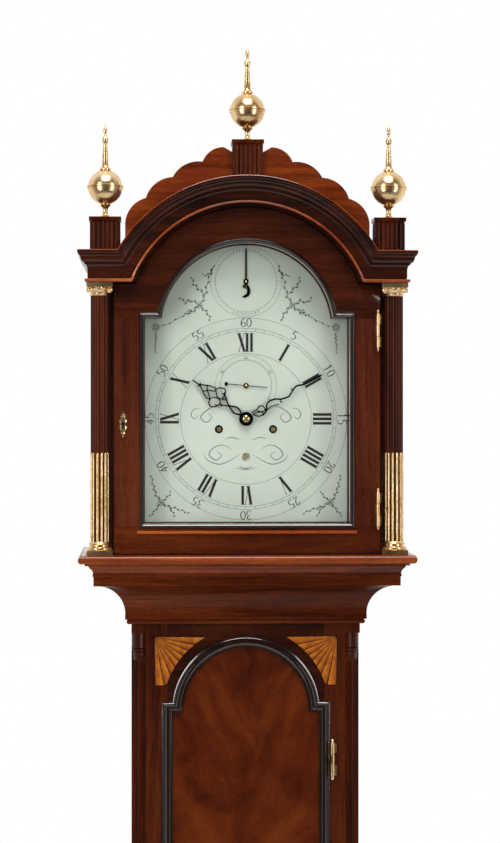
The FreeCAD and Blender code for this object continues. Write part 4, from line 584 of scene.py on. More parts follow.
minute_strokes = [
    ([(-3.9, 11), (-3.7, 20), (-6.4, 25), (-4.5, 29.8), (-0.5, 31.2), (2.9, 29.9), (2.2, 24.6), (-2.2, 20)],
     1.1), ([(-1, 11), (-0.5, 18.1), (2.3, 24.2), (6.4, 24.8), (6.3, 18.8), (2.8, 14.5), (-1, 12.2)], 1.1),
    ([(7.5, 22.5), (6, 28.8), (2.2, 33), (-2.5, 35.8), (-5, 41.1),
      (-4.8, 47), (-2.9, 52.7), (0.3, 57.6), (2, 63.4), (3, 69.6), (1.7, 73.1), (-0.6, 77.1),
      (-3.4, 82.7), (-4.5, 87.9), (-2.7, 93.3), (-0.8, 99), (-0.3, 111.5), (0, 127)], 1.5),
    ([(6, 28.8), (4.1, 32.5), (2.6, 39.3), (3.5, 45.5), (5.8, 51.8)], 0.9),
    ([(-1.3, 54.8), (1.6, 56.9), (5.4, 56), (4.1, 57.7)], 1), ([(-6, 79.4), (-3, 78.7), (-1.4, 81.5)], 1),
    ([(-3.2, 116.6), (-0.3, 114.8)], 0.9)]


def make_hand(name, body, angle, strokes, middle, boss_profile, extras=()):
    """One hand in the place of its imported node: its strokes, its boss and any solid ends."""
    low = box(name)[0].y
    sketch = bmesh.new()
    for points, width in strokes:
        line = flowing(points, 5) if len(points) > 2 else points
        bar(sketch, turned(line, angle), width * hand_swell, middle, low, low + hand_thick)
    hub = Vector((middle.x, low, middle.z))
    spun(sketch, boss_profile, hub, front, 32, ring=boss_profile[0][0] > 0)
    for points, widths in extras:
        line = flowing(points, 5)
        wide = [widths[0] + (widths[1] - widths[0]) * sin(pi * index / (len(line) - 1)) ** 0.7
                for index in range(len(line))]
        bar(sketch, turned(line, angle), wide, middle, low, low + hand_thick)
    return piece(name + "_blued", sketch, blued_steel, body, "blued_steel", name, sharp=40)


hour_boss = [(4.4, -0.8), (9.6, -0.8), (9.6, 0), (4.4, 0)]
minute_boss = [(0, -1), (10.3, -1), (10.3, -0.2), (9.6, 0.2), (6.8, 0.3), (6.2, 0), (0, 0)]
small_hub = [(1.7, -1), (3.8, -1), (3.9, -0.4), (3.6, 0.1), (1.7, 0.1)]
make_hand("hour_hand", "hour_train", radians(-54), hour_strokes, dial_middle, hour_boss)
make_hand("minute_hand", "minute_train", radians(59.85), minute_strokes, dial_middle, minute_boss)
make_hand("seconds_hand", "escape", radians(95), [([(0, 3), (0, 31)], 0.6), ([(0, -3), (0, -28)], 0.6)],
          seconds_middle, small_hub, [([(0, -26.6), (0, -29), (0, -31.4)], (0.8, 6))])
make_hand("strike_hand", "strike_hand", 0.0, [([(0, 3.2), (0, 24), (0, 48)], 1.5)], strike_middle,
          small_hub, [([(0, -3.6), (2.6, -7.9), (3.9, -13), (3, -18.4), (-1, -21.6), (-5.2, -22.4)],
                       (1, 4.6)), ([(0.4, -3.6), (-3.6, -7.2), (0.8, -10.4)], (0.8, 2.6))])


# The collet on the minute hand is turned brass with a square hole, and small brass studs hold the seconds
# and strike hands. The date shows as a turned brass disc behind its hole, ringed by a fine bead. Dark
# turned rings line the two winding holes, as painted shade for the depth of the holes.

minute_front = box("minute_hand")[0].y
sketch = bmesh.new()
spun(sketch, [(0, -0.2), (5.6, -0.2), (5.4, 0.5), (3.8, 1.6), (2.6, 1.7), (2.4, 1.1), (0, 1.1)],
     Vector((dial_middle.x, minute_front, dial_middle.z)), front, 32)
bar(sketch, [(-3.1, 0.6), (3.1, -0.6)], 1.0, dial_middle, minute_front - 2.4, minute_front - 1.4)
piece("minute_collet", sketch, lacquered_brass, "minute_train", "brass", sharp=40)
for name, body, node, middle in (("seconds_stud", "escape", "seconds_hand", seconds_middle), (
        "strike_stud", "strike_hand", "strike_hand", strike_middle)):
    sketch = bmesh.new()
    spun(sketch, [(0, -1), (1.6, -1), (1.6, 0.2), (1.1, 0.6), (0, 0.7)],
         Vector((middle.x, box(node)[0].y, middle.z)), front, 24)
    piece(name, sketch, lacquered_brass, body, "brass", sharp=40)
barrel_drop = -15.0
# Dark rings in the winding holes: painted shade for the depth of the holes.
sketch = bmesh.new()
for x in (-39.5, 39.5):
    middle = Vector((x, dial_face, dial_middle.z + barrel_drop))
    spun(sketch, [(5.75, -1.8), (5.75, 0.15), (6, 0.35), (5.1, 0.5), (4.3, 0.1), (3.2, -1.2), (3.2, -1.8)],
         middle, front, 40, ring=True)
piece("winding_hole_painted_shade", sketch, blued_steel, "case", "blued_steel", sharp=40)
date_drop = -55.2
sketch = bmesh.new()
middle = Vector((0, dial_face, dial_middle.z + date_drop))
spun(sketch, [(0, -1.9), (6.4, -1.9), (6.4, 0.25), (5.9, 0.45), (5.3, 0.1), (5, -0.9), (4.2, -1.1),
              (0, -1.1)], middle, front, 40)
tarnished_silver = metal("tarnished_silvering", "#cfc9a8", "#8b8770", 0.4, cloud_mm=4.0)
piece("date_disc", sketch, tarnished_silver, "case", "silvered_brass", sharp=30)


# Both doors have an ebonised moulding planted round them, mitred at the corners and bent round the arch:
# a fillet, a bold ovolo and a small hollow, polished until only the highlights show.

ebonised = polished_wood(
    "ebonised_moulding", "#120907", "#1f120d", "#2e1a12", roughness=0.16, coat=1.0, specular=0.6)
arch_steps = 40


def arched(half, foot, shoulder, centre, radius):
    """The outline of a break-arch door, with the same number of points for every size."""
    start = pi - asin((shoulder - centre) / radius)
    turns = [start + (pi - 2 * start) * step / arch_steps for step in range(arch_steps + 1)]
    arc = [(radius * cos(turn), centre + radius * sin(turn)) for turn in turns]
    return [(-half, foot), (-half, shoulder)] + arc + [(half, shoulder), (half, foot)]


def planted_moulding(name, body, opening, profile, face):
    """Runs a closed profile of (forward, outward) points round the outline of an arched opening."""
    half, foot, shoulder, centre, radius = opening
    sketch = bmesh.new()
    rows = []
    for forward, grow in profile:
        outline = arched(half + grow, foot - grow, shoulder + grow, centre, radius + grow)
        rows.append([(x, face - forward, z) for x, z in outline])
    skin(sketch, rows, closed=True)
    return piece(name + "_run", sketch, ebonised, body, "dark_moulding", name, sharp=24)


trunk_moulding_box = box("trunk_door_moulding")
trunk_half, trunk_foot = trunk_moulding_box[1].x, trunk_moulding_box[0].z
trunk_wide, trunk_arch, trunk_centre, trunk_drop = 15.6, 107.4, 1380.0, 12.8
trunk_profile = [(-0.2, 0), (2.6, 0), (3.1, 0.4), (3.1, 1.6), (3.9, 1.9), (5.8, 2.8), (7.6, 4.2),
                 (8.6, 5.9), (8.8, 7.2), (8.4, 8.7), (7.2, 10.1), (6, 10.8), (6, 11.6), (4.9, 12.2),
                 (4, 13.2), (3.5, 14.4), (3, 15.6), (-0.2, 15.6)]
planted_moulding("trunk_door_moulding", "trunk_door", (
    trunk_half - trunk_wide, trunk_foot + trunk_wide, trunk_centre + trunk_drop - trunk_wide, trunk_centre,
    trunk_arch - trunk_wide), trunk_profile, box("trunk_door_panel")[0].y)
hood_face = box("hood_door_frame")[0].y
hood_profile = [(-16.6, 0), (1, 0), (1.6, 0.4), (3, 1.4), (3.9, 2.8), (3.9, 3.8), (3, 5), (1.5, 5.7),
                (1.1, 6.3), (0.3, 7), (-16.6, 7)]
planted_moulding("hood_door_moulding", "hood_door", (148, 1654, 1950, 1933, 125), hood_profile, hood_face)


# Each corner over the trunk door has a fan of satinwood let into the mahogany: eight wedges that meet in
# the outer corner, each scorched brown in hot sand along one edge, with a dark line between them.

def fan_look(tree, where):
    """Satinwood with silky cross figure, scorched towards one edge."""
    colour = clouded(
        tree, where, 150.0, 3.0, [(0.3, tone("#9a4c02")), (0.55, tone("#b56404")), (0.8, tone("#cd7f12"))])
    scorch = add(tree, "ShaderNodeAttribute", attribute_name="scorch")
    tint = darkened(tree, colour, (scorch, "Fac"), 1.0, [(0.35, (1, 1, 1, 1)), (0.95, (0.42, 0.3, 0.2, 1))])
    return {"Base Color": tint, "Roughness": 0.35, "Coat Weight": 0.2}


finish_nodes(ebonised, ["fan_inlays"])
satinwood = shaded("satinwood", fan_look)
fan_low, fan_high = box("fan_inlays")
fan_wedges, fan_line, fan_arc, fan_edge = 8, 0.5, 121.6, 0.6
fan_x, fan_z = fan_high.x - fan_edge, fan_high.z - fan_edge


def ray_end(angle):
    """Where a ray from the outer corner of the right fan meets the fan's inner arc or its foot."""
    u, v = cos(angle), sin(angle)
    x, z = fan_x, fan_z - trunk_centre
    inward = x * u + z * v
    under = inward ** 2 - (x * x + z * z - fan_arc ** 2)
    reach = -inward - sqrt(under) if under > 0 else 1e9
    if v < -1e-6:
        reach = min(reach, (fan_z - fan_low.z - fan_edge) / -v)
    return x + reach * u, trunk_centre + z + reach * v


sketch = bmesh.new()
scorch = sketch.verts.layers.float.new("scorch")
for side in (1, -1):
    for wedge in range(fan_wedges):
        first = pi + pi / 2 * (wedge + 0.06) / fan_wedges
        last = pi + pi / 2 * (wedge + 0.94) / fan_wedges
        middle, back = (first + last) / 2, 3 * fan_line
        outline = [(fan_x + back * cos(middle), fan_z + back * sin(middle))]
        outline += [ray_end(first + (last - first) * step / 4) for step in range(5)]
        depths = (fan_low.y - 0.12, fan_low.y + 0.1)
        for ring in skin(sketch, [[(side * x, depth, z) for x, z in outline] for depth in depths]):
            for vertex, value in zip(ring, (0.6, 0, 0.25, 0.5, 0.75, 1)):
                vertex[scorch] = value
piece("fan_wedges", sketch, satinwood, "case", "satinwood")


# The finials are spun and turned brass: two cups joined at a bead to make the ball, on a thin stem with a
# moulded foot, under a drawn-out spire with two knops. A screw holds each one on its plinth.

ball = 24.8
ball_level = 43.7
finial_profile = [(0, 0), (7.7, 0), (7.9, 1.2), (6.6, 2.2), (5, 3.4), (4.2, 5.2), (3.5, 8.5), (3.6, 12),
                  (4.8, 14.8), (7.2, 16.6), (8, 17.6), (7.4, 18.6), (6.6, 19.2)]
for turn in range(-72, 78, 6):
    if turn == 0:
        finial_profile += [(ball + out, ball_level + up) for out, up in (
            (-0.4, -3.4), (1.1, -3.2), (1.2, -0.6), (0.4, 0), (1.7, 0.5), (1.8, 2.2), (-0.4, 2.8))]
    elif abs(turn) > 8:
        finial_profile.append((ball * cos(radians(turn)), ball_level + ball * sin(radians(turn))))
finial_profile += [
    (7, 67.8), (8, 68.6), (8.1, 70), (7.2, 71.2), (5.8, 72.2), (4.9, 75), (4.4, 84), (3.6, 98), (2.9, 106),
    (3.4, 107.2), (4.4, 109.6), (4.7, 111.9), (4.2, 114), (2.9, 115.8), (1.9, 117.4), (1.8, 120),
    (2.6, 122.2), (3.3, 124.6), (2.9, 127), (1.8, 130.2), (0.9, 133.4), (0, 136)]
upward = Vector((0, 0, 1))
sketch = bmesh.new()
finial_y = middle_of("hood_finials").y
for x, foot in ((0, 2204), (204, 2093), (-204, 2093)):
    spun(sketch, finial_profile, Vector((x, finial_y, foot)), upward, 56)
cast_brass = metal("spun_brass", "#f3d3a2", "#d2a468", 0.25, cloud_mm=22.0)
piece("finials_turned", sketch, cast_brass, "hood", "brass", "hood_finials", sharp=40)


# The corner columns are turned from mahogany and fluted with a scratch stock. Brass rods fill the lower
# part of the flutes, and cast brass bases and capitals are pinned above and below.

column_x, column_y, column_reach, block_half = 212.0, -101.5, 13.0, 18.8
shaft_foot, shaft_head, reed_head = 1628.0, 1981.0, 1754.0


def fluted_shaft(tree, source):
    """A round shaft with hollow flutes: a circle drawn in by a wave, run up a straight line."""
    ring = add(tree, "GeometryNodeCurvePrimitiveCircle",
               {"Resolution": (source, "Points"), "Radius": (source, "Radius")})
    part = add(tree, "GeometryNodeSplineParameter")
    waves = add(tree, "ShaderNodeMath", {1: pi, 0: (source, "Flutes")}, operation="MULTIPLY")
    turn = add(tree, "ShaderNodeMath", {0: part, 1: waves}, operation="MULTIPLY")
    wave = add(tree, "ShaderNodeMath", {0: turn}, operation="SINE")
    size = add(tree, "ShaderNodeMath", {0: wave}, operation="ABSOLUTE")
    bite = add(tree, "ShaderNodeMath", {1: 0.6, 0: size}, operation="POWER")
    share = add(tree, "ShaderNodeMath", {0: (source, "Depth"), 1: (source, "Radius")}, operation="DIVIDE")
    factor = add(tree, "ShaderNodeMath", {0: bite, 1: share}, operation="MULTIPLY")
    keep = add(tree, "ShaderNodeMath", {0: 1.0, 1: factor}, operation="SUBTRACT")
    place = add(tree, "GeometryNodeInputPosition")
    drawn = add(tree, "ShaderNodeVectorMath", {0: place, 3: keep}, operation="SCALE")
    fluted = add(tree, "GeometryNodeSetPosition", {"Geometry": ring, "Position": drawn})
    end = add(tree, "ShaderNodeCombineXYZ", {"Z": (source, "Height")})
    line = add(tree, "GeometryNodeCurvePrimitiveLine", {"End": end})
    return add(tree, "GeometryNodeCurveToMesh", {"Fill Caps": True, "Curve": line, "Profile Curve": fluted})


def stand(sketch, mesh, spot, turn=0.0, offset=Vector()):
    """Adds a mesh to a sketch: shifted, turned about the upright and set on its spot."""
    sketch.from_mesh(mesh)
    for vertex in list(sketch.verts)[-len(mesh.vertices):]:
        vertex.co = spot + Matrix.Rotation(turn, 3, "Z") @ (vertex.co + offset)


def both_columns(mesh, foot, turn=0.0):
    """Sets a mesh at the foot of both columns."""
    sketch = bmesh.new()
    for x in (column_x, -column_x):
        stand(sketch, mesh, Vector((x, column_y, foot)), turn)
    return sketch


shaft = made_by_rule("fluted_shaft", {"Points": 240, "Radius": column_reach, "Flutes": 12, "Depth": 1.9,
                                      "Height": shaft_head - shaft_foot}, fluted_shaft, mahogany_turned)
piece("column_shafts_fluted", both_columns(shaft, shaft_foot), mahogany_turned, "hood", "mahogany",
      "column_shafts", sharp=35)


def ring_of_rods(tree, source):
    """Round-ended rods, standing in a ring, for the flutes that they fill."""
    ring = add(tree, "GeometryNodeMeshCircle",
               {"Vertices": (source, "Count"), "Radius": (source, "Radius")})
    rod = add(tree, "GeometryNodeMeshCylinder",
              {"Vertices": 12, "Side Segments": 1, "Radius": (source, "Rod"), "Depth": (source, "Height")})
    tip = add(tree, "GeometryNodeMeshUVSphere", {"Segments": 12, "Rings": 8, "Radius": (source, "Rod")})
    half = add(tree, "ShaderNodeMath", {1: 0.5, 0: (source, "Height")}, operation="MULTIPLY")
    top = add(tree, "ShaderNodeCombineXYZ", {"Z": half})
    lifted = add(tree, "GeometryNodeTransform", {"Geometry": tip, "Translation": top})
    reed = add(tree, "GeometryNodeJoinGeometry", {"Geometry": rod})
    tree.links.new(lifted.outputs["Geometry"], reed.inputs["Geometry"])
    stood = add(tree, "GeometryNodeInstanceOnPoints", {"Points": ring, "Instance": reed})
    return add(tree, "GeometryNodeTransform", {"Geometry": stood, "Translation": top})


reeds = made_by_rule("brass_reeds", {
    "Count": 12, "Radius": 11.7, "Rod": 2.0, "Height": reed_head - shaft_foot}, ring_of_rods, cast_brass)
sketch = both_columns(reeds, shaft_foot, radians(15))
brass_low, brass_high = box("column_brasses")


def block(sketch, low, high, bevel):
    """A squared block with softened edges."""
    made = bmesh.ops.create_cube(sketch, size=1.0)["verts"]
    for vertex in made:
        vertex.co = Vector([low[axis] if vertex.co[axis] < 0 else high[axis] for axis in range(3)])
    edges = list({edge for vertex in made for edge in vertex.link_edges})
    bmesh.ops.bevel(sketch, geom=edges, offset=bevel, segments=2, profile=0.7, affect="EDGES")


base_profile = [(0, 0), (17.2, 0), (18, 1.2), (18.2, 2.6), (17.4, 4.2), (15.6, 4.9), (14.6, 5.6),
                (14.5, 7.4), (15.4, 8.4), (16, 9.4), (15.4, 10.6), (14.2, 11.2), (13.6, 12.2), (0, 12.2)]
capital_profile = [(0, 0), (13.6, 0), (14.4, 0.7), (14.6, 1.4), (14, 2.2), (13.4, 2.6), (13.6, 4.4),
                   (14.8, 6.6), (16.8, 8.6), (17.6, 10), (17.2, 11.4), (15.6, 12), (0, 12)]
scroll_eye = [(0, -2), (4.4, -2), (4.4, 1), (3.4, 1.6), (2.6, 1), (1.6, 1.6), (0, 2)]
flower = [(0, -3), (4.2, -3), (4.6, -0.6), (3.4, 0.6), (1.8, 0.2), (1.4, 1.2), (0, 1.6)]
for x in (column_x, -column_x):
    spun(sketch, base_profile, Vector((x, column_y, brass_low.z + 7)), upward, 40)
    spun(sketch, capital_profile, Vector((x, column_y, shaft_head)), upward, 40)
    block(sketch, (x - block_half, column_y - block_half, brass_low.z),
          (x + block_half, brass_high.y, brass_low.z + 7.2), 0.8)
    block(sketch, (x - block_half, column_y - block_half, shaft_head + 12.0),
          (x + block_half, brass_high.y, brass_high.z), 1.0)
    for corner in (-1, 1):
        spun(sketch, scroll_eye, Vector((x + corner * 14.2, column_y - 14, shaft_head + 8.2)), front, 20)
    spun(sketch, flower, Vector((x, column_y - 17.8, shaft_head + 11.6)), front, 16)
piece("column_mounts", sketch, cast_brass, "hood", "brass", "column_brasses", sharp=38)


# Brass hinges carry both doors: thin leaves let in and screwed, round knuckles on a steel pin, and small
# turned tips above and below. The tips and knuckles are all that shows of them from the front.

def knuckles(sketch, pin, low, high, reach, tipped=None):
    """A stretch of hinge barrel with eased ends, and a turned tip on its tipped end."""
    rise = high - low
    profile = [(0, 0), (reach * 0.86, 0), (reach, 0.4), (reach, rise - 0.4), (reach * 0.86, rise),
               (0, rise)]
    spun(sketch, profile, Vector((*pin, low)), upward, 24)
    shares = [(0.8, 0), (0.5, 1), (0.75, 2.4), (0.8, 3.4), (0.5, 4.8)]
    tip = [(0, 0)] + [(reach * share, along) for share, along in shares] + [(0, 6.4)]
    for end, way in ((high, upward), (low, -upward)):
        if end == tipped:
            spun(sketch, tip, Vector((*pin, end)), way, 20)


def dress_hinges(
        fixed_node, moving_node, fixed_body, moving_body, pin, levels, reach, fixed_leaves, moving_leaves):
    """The fixed and moving leaves of one door: knuckles on the pin, and leaves given by their plan."""
    third, gap = hinge_length / 3, 0.15
    fixed, moving = bmesh.new(), bmesh.new()
    for level in levels:
        low_top, high_foot, top = level + third - gap, level + 2 * third + gap, level + hinge_length
        knuckles(fixed, pin, level, low_top, reach, level)
        knuckles(fixed, pin, high_foot, top, reach, top)
        knuckles(moving, pin, low_top + 2 * gap, high_foot - 2 * gap, reach)
        for x0, y0, x1, y1 in fixed_leaves:
            for low, high in ((level, low_top), (high_foot, top)):
                block(fixed, (x0, y0, low + 0.8), (x1, y1, high - 0.8), 0.25)
        for x0, y0, x1, y1 in moving_leaves:
            block(moving, (x0, y0, low_top + 1.2), (x1, y1, high_foot - 1.2), 0.25)
    piece(fixed_node + "_brass", fixed, cast_brass, fixed_body, "brass", fixed_node, sharp=40)
    piece(moving_node + "_brass", moving, cast_brass, moving_body, "brass", moving_node, sharp=40)


hinge_length = 49.0
post_face, door_edge = -84.0, 191.8
dress_hinges("hood_hinge_leaves", "hood_door_hinges", "hood", "hood_door", (188.3, -109), (1907, 1650), 2.6,
             [(188.3, -109.7, door_edge + 1.5, -108.3), (door_edge, -109.7, door_edge + 1.5, post_face)],
             [(185.4, hood_face - 1.4, 188.9, hood_face - 0.02), (187.6, -109.0, 189.0, hood_face - 0.02)])
trunk_face = box("trunk_stiles")[0].y
trunk_panel_face = box("trunk_door_panel")[0].y
dress_hinges("trunk_hinge_leaves", "trunk_door_hinges", "case", "trunk_door", (126.1, -61.2), (1283, 668),
             3.1, [(126.1, trunk_face - 1.5, 132.6, trunk_face - 0.02),
                   (126.1, -61.2, 127.6, trunk_face - 0.02)],
             [(122.7, -64.3, 124.1, trunk_panel_face - 0.1), (122.7, -64.3, 126.1, -62.8)])


# The hood door's frame is joined from two stiles, a foot rail and an arched head, each sawn from a board of
# its own with the grain along it, so fine joint lines cross the frame and its tone steps a little at each
# joint. The arched head is coloured darker still, as painted shade under the cornice.

mahogany_stile = polished_wood("mahogany_door_stiles", "#37120a", "#52210f", "#632d14", coat=0.5)
mahogany_foot_rail = polished_wood(
    "mahogany_door_foot_rail", "#381304", "#501e05", "#622909", "X", coat=0.4)
# The head's darker tones are painted shade under the cornice.
mahogany_head_shaded = polished_wood("door_head_mahogany_painted_shade", "#270b02", "#401805", "#53220b", "X", coat=0.3)
joint_levels = [1600.0, 1649.5, 1949.0, 2150.0]
joint_line = 0.15
boards = [("hood_door_foot_rail", mahogany_foot_rail), ("hood_door_stiles", mahogany_stile),
          ("hood_door_arched_head", mahogany_head_shaded)]
for (name, material), low, high in zip(boards, joint_levels, joint_levels[1:]):
    sketch = bmesh.new()
    sketch.from_mesh(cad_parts["hood_door_frame"].data)
    sketch.transform(Matrix.Scale(1 / MM, 4))
    bmesh.ops.remove_doubles(sketch, verts=sketch.verts, dist=0.002)
    for level, up in ((low + joint_line, -1), (high - joint_line, 1)):
        cut = bmesh.ops.bisect_plane(sketch, geom=sketch.verts[:] + sketch.edges[:] + sketch.faces[:],
                                     plane_co=(0, 0, level), plane_no=(0, 0, up), clear_outer=True)
        rim = [item for item in cut["geom_cut"] if isinstance(item, bmesh.types.BMEdge)]
        if rim:
            bmesh.ops.holes_fill(sketch, edges=rim)
    piece(name, sketch, material, "hood_door", "mahogany", "hood_door_frame", sharp=30)


# The cornice breaks into an arch over the dial. Each length is worked with hollow and round planes, then
# mitred at the springing of the arch and at the corners. Its foot bead and its top lip are coloured
# paler, as painted highlight.

cornice_low, cornice_high = box("hood_cornice")
cornice_foot, cornice_head, cornice_back = cornice_low.z, 2046.0, cornice_high.y
hood_half, cornice_out = 224.0, cornice_high.x - 224.0
hood_front = cornice_low.y + cornice_out
spring_centre, arch_foot, arch_head = 1936.8, 177.0, cornice_high.z - 1936.8


def along_cornice(name, profile, material, *replaced):
    """Runs a closed profile of (outward, upward) shares along the cornice and its returns."""
    rings = []
    stages = [("back", -1), ("corner", -1)] + [
        ("arch", step / 56) for step in range(57)] + [("corner", 1), ("back", 1)]
    low = (-sqrt(arch_foot ** 2 - (cornice_foot - spring_centre) ** 2), cornice_foot)
    high = (-sqrt(arch_head ** 2 - (cornice_head - spring_centre) ** 2), cornice_head)
    sketch = bmesh.new()
    for stage, place in stages:
        ring = []
        for outward, up in profile:
            out = cornice_out * outward
            if stage == "arch":
                x = low[0] + (high[0] - low[0]) * up
                z = low[1] + (high[1] - low[1]) * up
                reach, end = hypot(x, z - spring_centre), atan2(z - spring_centre, x)
                turn = end + (pi - 2 * end) * place
                point = (reach * cos(turn), hood_front - out, spring_centre + reach * sin(turn))
            else:
                deep = hood_front - out if stage == "corner" else cornice_back
                point = (place * (hood_half + out), deep, cornice_foot + (cornice_head - cornice_foot) * up)
            ring.append(point)
        rings.append(ring)
    skin(sketch, rings)
    return piece(name, sketch, material, "hood", "mahogany", *replaced, sharp=26)


along_cornice("cornice_run", [
    (-0.02, 0), (0.24, 0), (0.24, 0.13), (0.27, 0.14), (0.27, 0.36), (0.28, 0.42), (0.31, 0.475),
    (0.36, 0.52), (0.43, 0.55), (0.5, 0.56), (0.5, 0.6), (0.57, 0.605), (0.65, 0.63), (0.71, 0.665),
    (0.755, 0.71), (0.78, 0.76), (0.81, 0.8), (0.86, 0.825), (0.92, 0.835), (0.92, 0.87), (0.97, 0.88),
    (1, 0.905), (1, 0.975), (0.98, 0.992), (0.94, 1), (-0.02, 1)], mahogany_painted_shade, "hood_cornice")
# Paler copy for the cornice's foot bead and top lip, and the noses below: a painted highlight.
mahogany_painted_highlight = polished_wood("edge_mahogany_painted_highlight", "#7c3510", "#a04a17", "#bb6427", "X", coat=0.6)
along_cornice("cornice_bead", [(0.2, 0.004), (0.38, 0.004), (0.46, 0.02), (0.49, 0.05), (0.47, 0.085),
                               (0.4, 0.105), (0.2, 0.108)], mahogany_painted_highlight)
along_cornice("cornice_lip", [(0.9, 0.965), (0.99, 0.965), (1, 0.98), (0.985, 1), (0.9, 1)], mahogany_painted_highlight)


# The base frame of the hood has a thumb mould over an ogee, mitred at the front corners. The run is a paler
# copy of the mahogany, as painted light, and the thumb's nose and the bead under the door's glass are
# paler still, as painted highlight.

base_low, base_high = box("hood_base_moulding")
base_inner, base_neck = 167.7, 220.8


def around_front(name, profile, material, *replaced):
    """Runs a closed profile of (distance from the middle, height) round the front and both sides."""
    sketch = bmesh.new()
    rings = []
    for side, deep in ((-1, True), (-1, False), (1, False), (1, True)):
        rings.append([(side * out, cornice_back if deep else hood_front + hood_half - out, base_low.z + up)
                      for out, up in profile])
    skin(sketch, rings)
    return piece(name, sketch, material, "hood", "mahogany", *replaced, sharp=26)


nose = base_high.x
ogee = [(base_neck + out, up) for out, up in [(0, 0), (1.3, 0.8), (1.3, 3.6), (0.4, 4), (0.7, 6.2),
                                              (1.7, 9), (3.6, 11.6), (5.8, 13.2), (6.8, 14.8), (6.8, 16.2)]]
thumb = [(9.5, 16.6), (9.5, 19.6), (3, 19.8), (1.6, 21.4), (1.6, 30.6), (3.4, 31.2)]
thumb = [(nose - back, up) for back, up in thumb]
around_front("hood_base_run", [(base_inner, 0)] + ogee + thumb + [(base_inner, 31.4)], mahogany_lit_paler,
             "hood_base_moulding")
# The nose's paler colour is a painted highlight.
highlight_nose = [(5, 19.4), (2.4, 20), (0.7, 21.8), (0, 24.2), (0, 26), (0.6, 28.4), (2.2, 30.4), (4.4, 31.4),
          (9, 31.6), (9, 30), (5, 29)]
around_front("hood_base_nose", [(nose - back, up) for back, up in highlight_nose], mahogany_painted_highlight)
# The bead under the door's glass is paler as a painted highlight.
sketch = bmesh.new()
block(sketch, (-158.5, hood_face - 2.6, 1639.2), (158.5, hood_face + 0.6, 1644), 2.0)
piece("hood_door_bead", sketch, mahogany_painted_highlight, "hood_door", "mahogany", sharp=50)


# Each lock has a cast brass escutcheon with scrolled lobes at the head and the foot, held by two pins. The
# keyhole is not cut: a thin dark sheet in its shape lies on the plate, as painted shade for the hole.

escutcheon_half = [
    (0, 19), (1.4, 18.2), (2, 16.6), (1.4, 15.2), (2.6, 14.6), (4.2, 13.4), (4.6, 11.8), (3.6, 10.4),
    (3, 9.4), (4.4, 8.6), (6, 7.2), (6.6, 5.2), (5.6, 3.2), (4.6, 1.4), (4.6, -0.6), (5.8, -2.4),
    (6.4, -4.8), (5.6, -7), (4, -8.6), (3.2, -9.8), (3.8, -11.2), (4.2, -12.8), (3.4, -14.2), (1.8, -15.2),
    (1.8, -16.8), (1.2, -18.4), (0, -19.4)]
key_half = [(1.2, 3.2), (2.1, 2), (2, 0.6), (1, -0.6), (1, -5.6)]
keyhole = [(-x, z) for x, z in key_half[::-1]] + [(0, 3.6)] + key_half


def cast_plate(sketch, middle, face, share):
    """A shaped plate with a raised edge: its outline drawn in and lifted in steps."""
    outline = escutcheon_half + [(-x, z) for x, z in escutcheon_half[-2:0:-1]]
    steps = [(1, 0), (1, 0.8), (0.9, 1.5), (0.72, 1.5), (0.62, 1.1)]
    rows = []
    for shrink, lift in steps:
        rows.append([(middle.x + x * shrink * share, face - lift,
                      middle.z + z * (1 - (1 - shrink) * 0.4) * share) for x, z in outline])
    skin(sketch, rows)


for name, body, node, share, face in (
        ("hood_escutcheon", "hood_door", "hood_door_escutcheon", 1.0, hood_face),
        ("trunk_escutcheon", "trunk_door", "trunk_door_escutcheon", 0.78, trunk_panel_face)):
    middle = middle_of(node)
    sketch = bmesh.new()
    cast_plate(sketch, middle, face - 0.02, share)
    for level in (12, -12.4):
        spun(sketch, [(0, 0), (0.9, 0), (0.9, 0.3), (0.5, 0.7), (0, 0.8)],
             Vector((middle.x, face - 1.2, middle.z + level * share)), front, 12)
    piece(name, sketch, cast_brass, body, "brass", node, sharp=35)
    # A dark sheet in the keyhole's shape, as painted shade for the hole.
    sketch = bmesh.new()
    hole = [(middle.x + x * share, middle.z + z * share) for x, z in keyhole]
    skin(sketch, [[(x, depth, z) for x, z in hole] for depth in (face - 1.24, face - 1)])
    piece(name + "_keyhole_painted_shade", sketch, ebonised, body, "dark_moulding")


# The pendulum bob is a lens of lead in a thin spun brass case, on a steel rod, with a rating nut below it.
# The driving weights are lead in polished brass tubes with domed ends, hung from brass pulleys.

bob_middle = middle_of("pendulum_bob")
bob_reach, bob_deep, _ = box("pendulum_bob")[1] - bob_middle
bob_half = [(0, 1), (0.2, 0.97), (0.45, 0.84), (0.7, 0.6), (0.9, 0.26), (0.98, 0.1), (1, 0.05)]
bob_half = [(bob_reach * out, bob_deep * deep) for out, deep in bob_half]
bob_profile = [(out, -deep) for out, deep in bob_half] + bob_half[::-1]
sketch = bmesh.new()
spun(sketch, bob_profile, bob_middle, front, 72)
spun(sketch, [(bob_reach - 0.4, -1.2), (bob_reach + 0.9, -0.9), (bob_reach + 0.9, 0.9),
              (bob_reach - 0.4, 1.2)], bob_middle, front, 72, ring=True)
piece("bob_lens", sketch, cast_brass, "pendulum", "brass", "pendulum_bob", sharp=40)
weight_case = [(0, -185), (16, -185), (24, -184), (26.4, -181.6), (26.4, -12), (27.6, -10.8), (28, -9),
               (27.6, -7.4), (26.6, -6.4), (26.4, -3.6), (24.6, -1.2), (19, 0.4), (10, 1.2), (6, 2),
               (5, 4.6), (0, 4.6)]
pulley_level, line_depth, weight_head, loop_half = 480.0, -5.0, 443.0, 4.6
